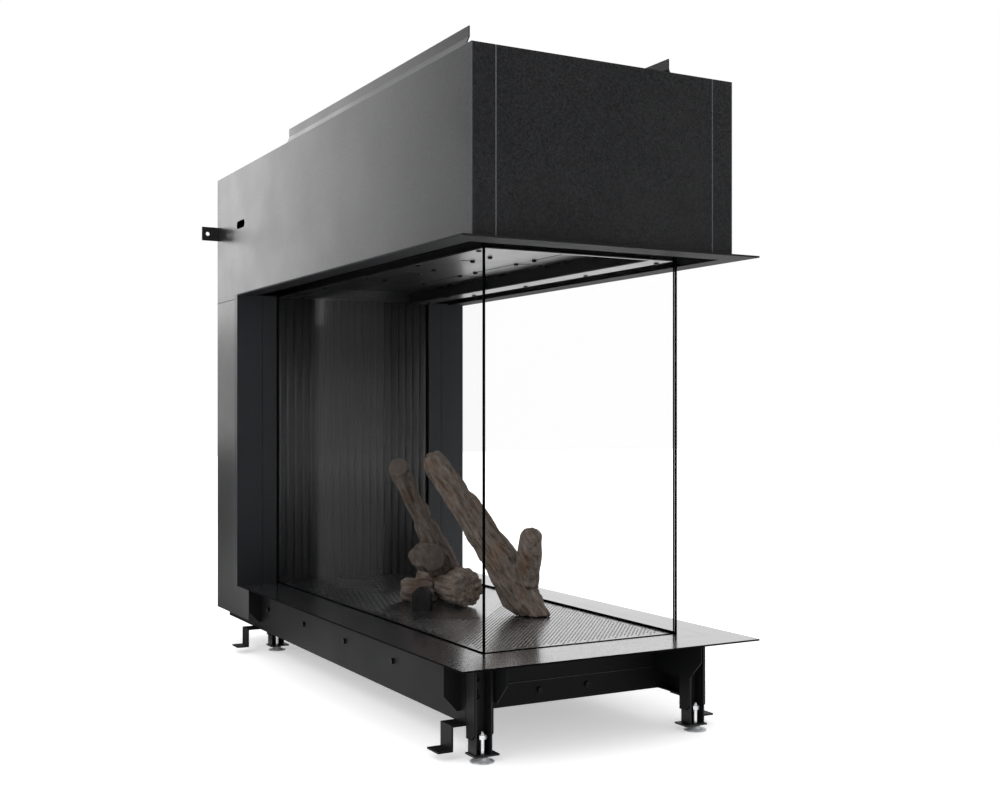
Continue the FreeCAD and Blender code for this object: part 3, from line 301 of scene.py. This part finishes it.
def sawn_material():
    """The sawn end of a log: grey-brown, with a fine saw grain and cloudy stains."""
    stain_colour = (0.058, 0.042, 0.034)
    tree = new_material("sawn_end")
    grain = tree.noise(tree.coordinates(scale=(1, 1, 0.3)), scale=260)
    stain = tree.noise(tree.coordinates(), scale=60)
    face = tree.ramp(grain, ((0.3, (0.074, 0.060, 0.053)), (0.7, (0.106, 0.087, 0.077))))
    stained = tree.grey(stain, low=0.0, high=0.5, start=0.45, end=0.7)
    tree.feed("Base Color", tree.mix(stained, face, stain_colour))
    tree.feed("Roughness", tree.grey(stain, low=0.7, high=0.85))
    tree.setting("Specular IOR Level", 0.25)
    tree.bump(grain, strength=0.3, distance=0.001)
    return tree.owner


coat = powder_coat("anthracite_coat", (0.005, 0.0053, 0.006), (0.029, 0.0295, 0.0315),
                   rough=0.33, grain=420, specular=0.55, bump=0.15)
top_coat = powder_coat("top_trim_coat", (0.010, 0.0105, 0.0115), (0.018, 0.0185, 0.02),
                       rough=0.6, grain=420, specular=0.1, bump=0.05)
flange = powder_coat("column_coat", (0.012, 0.0132, 0.0162), (0.018, 0.0193, 0.0228),
                     rough=0.36, grain=370, specular=0.4)
liner = powder_coat("liner_steel", (0.027, 0.027, 0.0278), (0.033, 0.033, 0.0339),
                    rough=0.45, grain=12, specular=0.4)
ceiling = powder_coat("ceiling_steel", (0.010, 0.010, 0.0105), (0.018, 0.018, 0.019),
                      rough=0.3, grain=40, specular=1.0)
black = powder_coat("black_steel", (0.003, 0.003, 0.0033), (0.007, 0.007, 0.0075),
                    rough=0.5, grain=500, specular=0.2, bump=0.06)
leg_coat = powder_coat("leg_coat", (0.011, 0.0113, 0.0122), (0.017, 0.0174, 0.0188),
                       rough=0.42, grain=800, specular=0.22, bump=0.05)
frame_coat = powder_coat("frame_coat", (0.006, 0.0063, 0.007), (0.012, 0.0123, 0.0135),
                         rough=0.46, grain=800, specular=0.09, bump=0.08)
ridge = powder_coat("ridge_steel", (0.010, 0.010, 0.011), (0.02, 0.02, 0.022),
                    rough=0.26, grain=300, specular=0.8)
# Pale bluish paint for the hood's fold beads: a painted highlight where their bends catch the light.
fold_highlight = powder_coat("fold_painted_highlight", (0.05, 0.058, 0.072), (0.085, 0.096, 0.115),
                   rough=0.35, grain=300, specular=0.6, bump=0.02)
trim = trim_material()
zinc = zinc_material()
pad = pad_material()
deck = deck_material()
sawn = sawn_material()

# Each log: its stems in millimetres (start, end and radius), its sawn ends in millimetres (middle of the
# face, the way it looks, and its reach), a tone that scales its paint brighter or darker to how lit it
# looks, which is painted light and shade, how far its skin swells in metres, how much more at the top of its
# first stem, and the rounds of smoothing that wear it round.
logs = {
    "forked_log": {
        "stems": (((287, 74, 164), (53, -26, 456), 33), ((262, 67, 205), (285, 70, 326), 22)),
        "sawn_ends": (),
        "painted_light_tone": 1.05,
        "swell": 0.0036,
        "top_swell": 0.006,
        "worn_rounds": 9,
    },
    "leaning_log": {
        "stems": (((50, 4, 225), (-4, -78, 441), 30), ((32, -43, 260), (97, -50, 261), 28)),
        "sawn_ends": (((-4, -78, 441), (0.46, -0.57, 0.69), 27), ((97, -50, 261), (65, -7, 1), 32)),
        "painted_light_tone": 0.75,
        "swell": 0.0034,
        "top_swell": 0,
        "worn_rounds": 7,
    },
    "cross_log": {
        "stems": (((136, 13, 200), (-58, 13, 200), 38),),
        "sawn_ends": (((-58, 13, 197), (-1, 0, 0), 40),),
        "painted_light_tone": 1.5,
        "swell": 0.0040,
        "top_swell": 0,
        "worn_rounds": 24,
    },
    "short_log": {
        "stems": (((0, -72, 189), (40, 15, 189), 26),),
        "sawn_ends": (),
        "painted_light_tone": 1.25,
        "swell": 0.0034,
        "top_swell": 0,
        "worn_rounds": 24,
    },
}

# Each pane: the axis through it, the top of its seal, and how strongly it mirrors at a slant.
panes = {
    "glass_left": (1, 0.1672, 0.06),
    "glass_right": (1, 0.1652, 0.48),
    "glass_nose": (0, 0.1648, 0.06),
}

# The other nodes, by how their names start: the first row that fits a node gives its material, and the
# last row fits every name.
finishes = (
    (("foot_pad",), pad),
    (("foot_stud", "flue_", "gas_inlet"), zinc),
    (("deck_plate", "burner_plate"), deck),
    (("ribbed_liner",), liner),
    (("ceiling_baffles", "ceiling_strips"), ceiling),
    (("ceiling_bolts", "pilot_cover", "firebox_roof", "burner_tray", "strip_screws", "frame_bolts"), black),
    (("bottom_",), trim),
    (("top_trim",), top_coat),
    (("column_strip", "column_flange"), flange),
    (("leg_guides", "skirt_", "nose_beam", "trim_gussets", "floor_brackets", "base_plate"), frame_coat),
    (("leg_",), leg_coat),
    (("",), coat),
)


def material_of(name):
    """The material of a carried-over node."""
    if name in panes:
        return glass_material(name + "_clear", *panes[name])
    if name in logs:
        start, end = logs[name]["stems"][0][:2]
        return log_material(name + "_bark", Vector(end) - Vector(start), logs[name]["painted_light_tone"])
    return next(material for starts, material in finishes if name.startswith(starts))


for name in nodes:
    node_materials = nodes[name].data.materials
    node_materials.clear()
    node_materials.append(material_of(name))


def add_mesh(name, points, faces, material):
    """A new mesh object of one material."""
    mesh = bpy.data.meshes.new(name)
    mesh.from_pydata(points, [], faces)
    mesh.materials.append(material)
    item = bpy.data.objects.new(name, mesh)
    scene.collection.objects.link(item)
    return item


def add_piece(name, points, faces, material, body="casing"):
    """A new mesh that rides on a body."""
    piece = add_mesh(name, points, faces, material)
    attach(piece, body)
    return piece


def add_turned(points, faces, rings, count, first=Vector((1, 0, 0)), second=Vector((0, 1, 0))):
    """Adds a closed turned solid: rings of (middle, radius) along its axis, with count corners each."""
    base = len(points)
    for middle, radius in rings:
        for index in range(count):
            turn = 2 * math.pi * index / count
            points.append(middle + first * (radius * math.cos(turn)) + second * (radius * math.sin(turn)))
    for ring in range(len(rings) - 1):
        row = base + ring * count
        for index in range(count):
            following = (index + 1) % count
            faces.append([row + index, row + following, row + following + count, row + index + count])
    last = base + (len(rings) - 1) * count
    faces.append([base + index for index in reversed(range(count))])
    faces.append([last + index for index in range(count)])


# Bark: each log is remeshed to an even skin, which is worn round and then cut by fissures along the log.
# Branches, the tips of stems and sawn ends take only a share of the full depth.
mm = 0.001
skin_step = 0.0026
wear = 0.5
fissure_depth = 0.0068
fissures_across = 95
fissures_along = 14
fissure_octaves = 3
fissure_level = 0.7
lump_depth = 0.0032
lump_scale = 32
bark_end = 0.93
branch_share = 0.45
sawn_share = 0.12
sawn_point_facing = 0.8
sawn_face_facing = 0.75
deck_gap = 0.0002
deck_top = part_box("deck_plate_nose")[1].z


def even_skin(name, rounds):
    """A copy of a plain log with an even skin, worn round."""
    source = nodes[name]
    piece = bpy.data.objects.new(name + "_bark", source.data.copy())
    scene.collection.objects.link(piece)
    skin = piece.modifiers.new("even_skin", "REMESH")
    skin.mode = "VOXEL"
    skin.voxel_size = skin_step
    worn = piece.modifiers.new("worn_round", "SMOOTH")
    worn.factor = wear
    worn.iterations = rounds
    mesh = bpy.data.meshes.new_from_object(piece.evaluated_get(bpy.context.evaluated_depsgraph_get()))
    piece.modifiers.clear()
    piece.data = mesh
    mesh.materials.clear()
    mesh.materials.append(source.data.materials[0])
    mesh.materials.append(sawn)
    return piece


def nearest_stem(place, stems):
    """The stem that a place lies nearest to, measured in its radius, and how far along it, from 0 to 1."""
    found = []
    for index, (start, end, radius) in enumerate(stems):
        along = geometry.intersect_point_line(place, start, end)[1]
        along = min(max(along, 0), 1)
        found.append(((place - start.lerp(end, along)).length / radius, index, along))
    return min(found)[1:]


def on_sawn_end(place, normal, ends, least_facing):
    """Whether a place on a log's skin lies on a sawn end and faces its way."""
    return any((place - middle).length < reach and normal.dot(facing) > least_facing
               for middle, facing, reach in ends)


def carve_bark(mesh, stems, ends, swell, top_swell):
    """Swells a log's skin, and cuts fissures and lumps into it, less on branches and on sawn ends."""
    normals = [vertex.normal.copy() for vertex in mesh.vertices]
    for vertex, normal in zip(mesh.vertices, normals):
        place = vertex.co.copy()
        index, along = nearest_stem(place, stems)
        start, end = stems[index][:2]
        axis = (end - start).normalized()
        share = 1.0 if index == 0 and along < bark_end else branch_share
        if on_sawn_end(place, normal, ends, sawn_point_facing):
            share = sawn_share
        lengthwise = axis * place.dot(axis)
        stretched = (place - lengthwise) * fissures_across + lengthwise * fissures_along
        groove = min(noise.turbulence(stretched, fissure_octaves, False), fissure_level) - fissure_level
        lump = noise.noise(place * lump_scale)
        shift = swell + (groove * fissure_depth + lump * lump_depth) * share
        if index == 0:
            shift = shift + top_swell * max(along * 2 - 1, 0)
        vertex.co = place + normal * shift
        vertex.co.z = max(vertex.co.z, deck_top + deck_gap)


def bark_piece(name, log):
    """A log with modelled bark and sawn ends, which stands for the plain one."""
    piece = even_skin(name, log["worn_rounds"])
    stems = [(Vector(start) * mm, Vector(end) * mm, radius * mm) for start, end, radius in log["stems"]]
    ends = [(Vector(middle) * mm, Vector(facing).normalized(), reach * mm)
            for middle, facing, reach in log["sawn_ends"]]
    carve_bark(piece.data, stems, ends, log["swell"], log["top_swell"])
    for face in piece.data.polygons:
        face.use_smooth = True
        if on_sawn_end(face.center, face.normal, ends, sawn_face_facing):
            face.material_index = 1
    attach(piece, "casing")
    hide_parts(name)


bpy.context.view_layer.update()
for name, log in logs.items():
    bark_piece(name, log)

# Ridges pressed into the deck: short bars in staggered rows that slant across it.
ridge_turn = math.radians(140)
ridge_pitch = 0.0062
ridge_length = 0.026
ridge_gap = 0.004
ridge_foot = 0.0030
ridge_crest = 0.0014
ridge_height = 0.0005
ridge_sink = 0.0001
ridge_margin = 0.006
ridge_along = Vector((math.cos(ridge_turn), math.sin(ridge_turn), 0))
ridge_across = Vector((-math.sin(ridge_turn), math.cos(ridge_turn), 0))
top_slack = 0.0001
side_slack = 0.0005


def inside_plate(place, corners):
    """Whether a point lies within a convex plate outline, clear of its edge by the margin."""
    for start, end in zip(corners, corners[1:] + corners[:1]):
        run = (end - start).normalized()
        inward = Vector((-run.y, run.x, 0))
        if (place - start).dot(inward) < ridge_margin:
            return False
    return True


def plate_outline(name):
    """The four corners of a deck plate's top, counter-clockwise from the back on the right."""
    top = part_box(name)[1].z
    places = [vertex.co for vertex in nodes[name].data.vertices if abs(vertex.co.z - top) < top_slack]
    side = max(abs(place.y) for place in places)
    corners = []
    for y, pick in ((-side, min), (-side, max), (side, max), (side, min)):
        row = [place for place in places if abs(place.y - y) < side_slack]
        corners.append(pick(row, key=lambda place: place.x).copy())
    return corners


def add_ridge(points, faces, centre):
    """Adds one low bar with sloping sides; its foot sinks a little into the plate."""
    first = len(points)
    for width, inset, rise in ((ridge_foot, 0, -ridge_sink), (ridge_crest, ridge_foot / 2, ridge_height)):
        for along, across in ((-1, -1), (1, -1), (1, 1), (-1, 1)):
            place = centre + ridge_along * (along * (ridge_length / 2 - inset))
            place = place + ridge_across * (across * width / 2)
            points.append((place.x, place.y, centre.z + rise))
    faces.append([first + index for index in (4, 5, 6, 7)])
    for index in range(4):
        following = (index + 1) % 4
        faces.append([first + index, first + following, first + following + 4, first + index + 4])


def ridge_piece(name, corners):
    """The ridges that fit within one outline, as one mesh."""
    middle = sum(corners, Vector()) / len(corners)
    reach = max((corner - middle).length for corner in corners)
    rows = int(reach / ridge_pitch) + 1
    steps = int(reach / (ridge_length + ridge_gap)) + 1
    half = ridge_along * (ridge_length / 2)
    points = []
    faces = []
    for row in range(-rows, rows + 1):
        stagger = (row % 2) / 2
        for step in range(-steps, steps + 1):
            centre = middle + ridge_across * (row * ridge_pitch)
            centre = centre + ridge_along * ((step + stagger) * (ridge_length + ridge_gap))
            if inside_plate(centre - half, corners) and inside_plate(centre + half, corners):
                add_ridge(points, faces, centre)
    add_piece(name + "_ridges", points, faces, ridge)


def on_edge(start, end, y):
    """The place on a plate's edge at one y."""
    return start.lerp(end, (y - start.y) / (end.y - start.y))


for name in ("deck_plate_back", "deck_plate_nose"):
    ridge_piece(name, plate_outline(name))

# The burner stops short of the right pane: from its end on, the deck is ridged again.
burner_end_nose = -0.030
burner_end_back = -0.124
right_back, right_nose, left_nose, left_back = plate_outline("burner_plate")
end_nose = on_edge(right_nose, left_nose, burner_end_nose)
end_back = on_edge(right_back, left_back, burner_end_back)
ridge_piece("burner_plate", [right_back, right_nose, end_nose, end_back])

# Slim beads: folds of the hood and the nose beam that catch the light, and dark joints between sheets. The
# hood's folds are painted pale bluish as a painted highlight.
bead_sides = 10
fold_radius = 0.0011
fold_end_gap = 0.001
nose_fold_out = 0.0007
nose_fold_depth = 0.0004
corner_fold_depth = 0.0008
top_fold_radius = 0.0009
top_fold_depth = 0.0006
top_fold_end_gap = 0.002
joint_radius = 0.0008
joint_end_gap = 0.001
joint_depth = 0.0002
strip_joint_radius = 0.0006
strip_joint_out = 0.0001
strip_foot_gap = 0.003
beam_fold_radius = 0.0008
beam_fold_level = 0.096
beam_fold_inset = 0.03
panel_low, panel_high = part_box("nose_panel")
hood_low, hood_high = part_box("hood_side_left")
column_low, column_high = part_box("column_side_left")
strip_low, strip_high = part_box("column_strip_left")
beam_low, beam_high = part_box("nose_beam")


def bead(name, start, end, radius, material):
    """A slim round bead between two places."""
    start = Vector(start)
    end = Vector(end)
    run = (end - start).normalized()
    first = run.orthogonal().normalized()
    second = run.cross(first)
    points = []
    faces = []
    add_turned(points, faces, ((start, radius), (end, radius)), bead_sides, first, second)
    add_piece(name, points, faces, material)


fold_foot = panel_low.z + fold_end_gap
fold_top = panel_high.z - fold_end_gap
for side, side_name in sides:
    # These fold beads carry the pale bluish painted highlight.
    x = panel_high.x - nose_fold_depth
    y = side * (panel_high.y + nose_fold_out)
    bead("nose_fold_" + side_name, (x, y, fold_foot), (x, y, fold_top),
         fold_radius, fold_highlight)

    x = panel_high.x - corner_fold_depth
    y = side * (hood_high.y - corner_fold_depth)
    bead("corner_fold_" + side_name, (x, y, fold_foot), (x, y, fold_top),
         fold_radius, fold_highlight)

    z = hood_high.z - top_fold_depth
    back = hood_low.x + top_fold_end_gap
    front = hood_high.x - top_fold_end_gap
    bead("top_fold_" + side_name, (back, y, z), (front, y, z), top_fold_radius, fold_highlight)

    y = side * (column_high.y - joint_depth)
    z = (column_high.z + hood_low.z) / 2
    back = column_low.x + joint_end_gap
    front = column_high.x - joint_end_gap
    bead("hood_joint_" + side_name, (back, y, z), (front, y, z), joint_radius, black)

    x = strip_high.x
    y = side * (strip_high.y + strip_joint_out)
    bead("strip_joint_" + side_name, (x, y, strip_low.z + strip_foot_gap), (x, y, strip_high.z),
         strip_joint_radius, black)

bead("beam_fold", (beam_high.x, beam_low.y + beam_fold_inset, beam_fold_level),
     (beam_high.x, beam_high.y - beam_fold_inset, beam_fold_level), beam_fold_radius, coat)
bead("burner_joint", end_back, end_nose, joint_radius, black)

# Foot pads: turned discs with a rolled rim and a concave cone up to the stud, as (radius, height).
foot_corners = ("front_left", "front_right", "back_left", "back_right")
pad_profile = (
    (0.0192, 0.0), (0.02, 0.0006), (0.02, 0.0016), (0.0190, 0.0024), (0.0150, 0.0029),
    (0.0120, 0.0040), (0.0100, 0.0057), (0.0089, 0.0075), (0.0085, 0.009),
)
pad_sides = 36


def pad_piece(corner):
    """One foot pad, smooth but for its flat top and bottom."""
    low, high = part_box("foot_pad_" + corner)
    middle = (low + high) / 2
    rings = [(Vector((middle.x, middle.y, low.z + height)), radius) for radius, height in pad_profile]
    points = []
    faces = []
    add_turned(points, faces, rings, pad_sides)
    piece = add_piece("turned_pad_" + corner, points, faces, pad, "foot_%s_body" % corner)
    for face in list(piece.data.polygons)[:-2]:
        face.use_smooth = True
    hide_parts("foot_pad_" + corner)


for corner in foot_corners:
    pad_piece(corner)

# Top rails: an upright leaf over a leaf that flares out to the foot.
rail_bend = 0.018
rail_flare = 0.017
rail_sheet = 0.002


def rail_piece(side, side_name):
    """One bent rail, as an outline across it that is drawn along it."""
    low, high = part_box("top_rail_" + side_name)
    inner, outer = sorted((abs(low.y), abs(high.y)))
    flared = outer + rail_flare
    bend = high.z - rail_bend
    foot = low.z + rail_sheet
    profile = (
        (inner, low.z), (flared, low.z), (flared, foot), (outer, bend), (outer, high.z),
        (outer - rail_sheet, high.z), (outer - rail_sheet, bend), (flared - rail_sheet, foot), (inner, foot),
    )
    points = [(x, side * y, z) for x in (low.x, high.x) for y, z in profile]
    count = len(profile)
    faces = [list(range(count)), list(range(2 * count - 1, count - 1, -1))]
    for index in range(count):
        following = (index + 1) % count
        faces.append([index, index + count, following + count, following])
    if side > 0:
        faces = [face[::-1] for face in faces]
    piece = add_piece("bent_rail_" + side_name, points, faces, coat)
    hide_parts("top_rail_" + side_name)


for side, side_name in sides:
    rail_piece(side, side_name)

# Liner: ribs with wide crests that round off into narrow grooves.
rib_count = 20
rib_steps = 12
rib_depth = 0.004
rib_squareness = 4


def liner_piece():
    """The ribbed sheet; each step across it has two points in front and two behind."""
    low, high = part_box("ribbed_liner")
    steps = rib_count * rib_steps
    points = []
    faces = []
    for index in range(steps + 1):
        share = 2 * (index % rib_steps) / rib_steps - 1
        x = high.x - rib_depth * share ** rib_squareness
        y = low.y + (high.y - low.y) * index / steps
        points.extend([(x, y, low.z), (x, y, high.z), (low.x, y, low.z), (low.x, y, high.z)])
    for index in range(steps):
        front_foot, front_top, back_foot, back_top = range(4 * index, 4 * index + 4)
        faces.append([front_foot, front_foot + 4, front_top + 4, front_top])
        faces.append([back_foot, back_top, back_top + 4, back_foot + 4])
        faces.append([front_foot, back_foot, back_foot + 4, front_foot + 4])
        faces.append([front_top, front_top + 4, back_top + 4, back_top])
    last = 4 * steps
    faces.append([0, 1, 3, 2])
    faces.append([last, last + 2, last + 3, last + 1])
    piece = add_piece("rounded_liner", points, faces, liner)
    for index in range(steps):
        piece.data.polygons[4 * index].use_smooth = True
    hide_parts("ribbed_liner")


liner_piece()

# Ceiling: the bolts where the photograph shows them, and the dark joints that run between them.
bolt_columns = (-0.1925, -0.018, 0.0503, 0.221, 0.2905)
bolt_rows = (-0.024, 0.072, 0.1345)
bolt_sides = 12
bolt_radius = 0.0046
bolt_tip_radius = 0.0028
bolt_tip_height = 0.0012
ceiling_joint_radius = 0.0007
joint_nose_end = 0.39
joint_right_end = -0.073
bolt_low, bolt_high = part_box("ceiling_bolts")


def bolts_piece():
    """All bolts as one mesh; each hangs from the ceiling and narrows to its tip."""
    profile = (
        (bolt_tip_radius, bolt_low.z),
        (bolt_radius, bolt_low.z + bolt_tip_height),
        (bolt_radius, bolt_high.z),
    )
    points = []
    faces = []
    for x in bolt_columns:
        for y in bolt_rows:
            rings = [(Vector((x, y, level)), radius) for radius, level in profile]
            add_turned(points, faces, rings, bolt_sides)
    piece = add_piece("domed_bolts", points, faces, black)
    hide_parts("ceiling_bolts")


def ceiling_joints():
    """Joints along the middle row of bolts, and across the ceiling at the second and fourth column."""
    first, second, third, fourth, fifth = bolt_columns
    right_row, middle_row, left_row = bolt_rows
    runs = []
    for start, end in ((first, second), (third, fourth), (fifth, joint_nose_end)):
        runs.append(((start, middle_row), (end, middle_row)))
    for start, end in ((middle_row, left_row), (joint_right_end, right_row)):
        for x in (second, fourth):
            runs.append(((x, start), (x, end)))
    for index, (start, end) in enumerate(runs):
        bead("ceiling_joint_%d" % index, (*start, bolt_high.z), (*end, bolt_high.z),
             ceiling_joint_radius, black)


bolts_piece()
ceiling_joints()

# Studio: a pale floor in white surroundings, which are a little brighter where they are seen.
floor_reach = 14.0
floor_glow = 0.45
world_light = 0.95
world_seen = 1.0
white = (1, 1, 1, 1)


def floor_material():
    """Pale floor that keeps the object's shadow, and glows where it is seen."""
    tree = new_material("pale_floor")
    cloud = tree.noise(tree.coordinates(), scale=3.0)
    tree.feed("Base Color", tree.ramp(cloud, ((0.3, (0.985, 0.985, 0.985)), (0.7, (1, 1, 1)))))
    tree.setting("Roughness", 0.9)
    tree.setting("Specular IOR Level", 0.0)
    tree.setting("Emission Color", white)
    tree.feed("Emission Strength", tree.between(tree.seen(), off=0.0, on=floor_glow))
    return tree.owner


floor_corners = [(x * floor_reach, y * floor_reach, 0) for x, y in ((-1, -1), (1, -1), (1, 1), (-1, 1))]
floor = add_mesh("floor", floor_corners, [(0, 1, 2, 3)], floor_material())

surroundings = Tree(bpy.data.worlds.new("studio"), "Background")
surroundings.setting("Color", white)
surroundings.feed("Strength", surroundings.between(surroundings.seen(), off=world_light, on=world_seen))
scene.world = surroundings.owner


def lamp(name, place, target, size, power):
    """A soft rectangular lamp that points at a target, with its power in watts."""
    data = bpy.data.lights.new(name, "AREA")
    data.shape = "RECTANGLE"
    data.size, data.size_y = size
    data.energy = power
    item = bpy.data.objects.new(name, data)
    scene.collection.objects.link(item)
    item.visible_camera = False
    item.location = place
    item.rotation_euler = (Vector(target) - Vector(place)).to_track_quat("-Z", "Y").to_euler()


lamp("side_light", place=(-4.0, -1.0, 2.0), target=(0.0, -0.25, 0.85), size=(1.4, 2.0), power=23)
lamp("key_light", place=(1.6, -2.6, 2.6), target=(0, 0, 0.5), size=(1.6, 1.6), power=14)

# Dark cards around the object, which only its mirroring surfaces show.
nose_wall = 4.2
low_wall = -2.3
side_wall = -3.6
low_card_right = -1.0
low_card_left = -0.1
side_card_left = -1.86


def cloth_material(name, dark, light):
    """Matt cloth with a fine weave."""
    tree = new_material(name)
    weave = tree.noise(tree.coordinates(), scale=200)
    tree.feed("Base Color", tree.ramp(weave, ((0.3, dark), (0.7, light))))
    tree.setting("Roughness", 0.95)
    return tree.owner


def dark_card(name, corners, material):
    """A flat cloth that is seen only in reflections."""
    card = add_mesh(name, corners, [(0, 1, 2, 3)], material)
    card.visible_camera = False
    card.visible_diffuse = False
    card.visible_shadow = False


def standing_card(name, x, start, end, top, material):
    """A card that stands on the floor at one x, from one y to another."""
    dark_card(name, [(x, start, 0), (x, end, 0), (x, end, top), (x, start, top)], material)


def lying_card(name, outline, level, material):
    """A card that lies just above the floor."""
    dark_card(name, [(x, y, level) for x, y in outline], material)


cloth = cloth_material("dark_cloth", (0.02, 0.02, 0.022), (0.03, 0.03, 0.032))
felt = cloth_material("grey_felt", (0.11, 0.11, 0.112), (0.14, 0.14, 0.142))
floor_card_outline = (
    (low_wall, low_card_right), (-0.45, -0.31), (-0.72, low_card_left), (low_wall, low_card_left),
)
log_card_outline = ((-0.62, -0.54), (-0.50, -0.80), (side_wall, -2.5), (side_wall, side_card_left))
standing_card("nose_card", nose_wall, start=-4, end=5, top=4, material=cloth)
standing_card("low_card", low_wall, start=low_card_right, end=low_card_left, top=0.42, material=cloth)
lying_card("floor_card", floor_card_outline, level=0.003, material=felt)
lying_card("log_card", log_card_outline, level=0.002, material=cloth)
standing_card("side_card", side_wall, start=side_card_left, end=-5, top=4, material=cloth)

# The camera at the photograph's viewing angle.
sensor_mm = 36.0
lens_mm = 45.69
lens_shift = 0.0142
camera_place = (2.373, -1.156, 0.549)
camera_heading = math.radians(61.02)
camera_data = bpy.data.cameras.new("photo_view")
camera_data.sensor_width = sensor_mm
camera_data.lens = lens_mm
camera_data.shift_y = lens_shift
camera = bpy.data.objects.new("photo_view", camera_data)
camera.location = camera_place
camera.rotation_euler = (math.radians(90), 0, camera_heading)
scene.collection.objects.link(camera)
scene.camera = camera
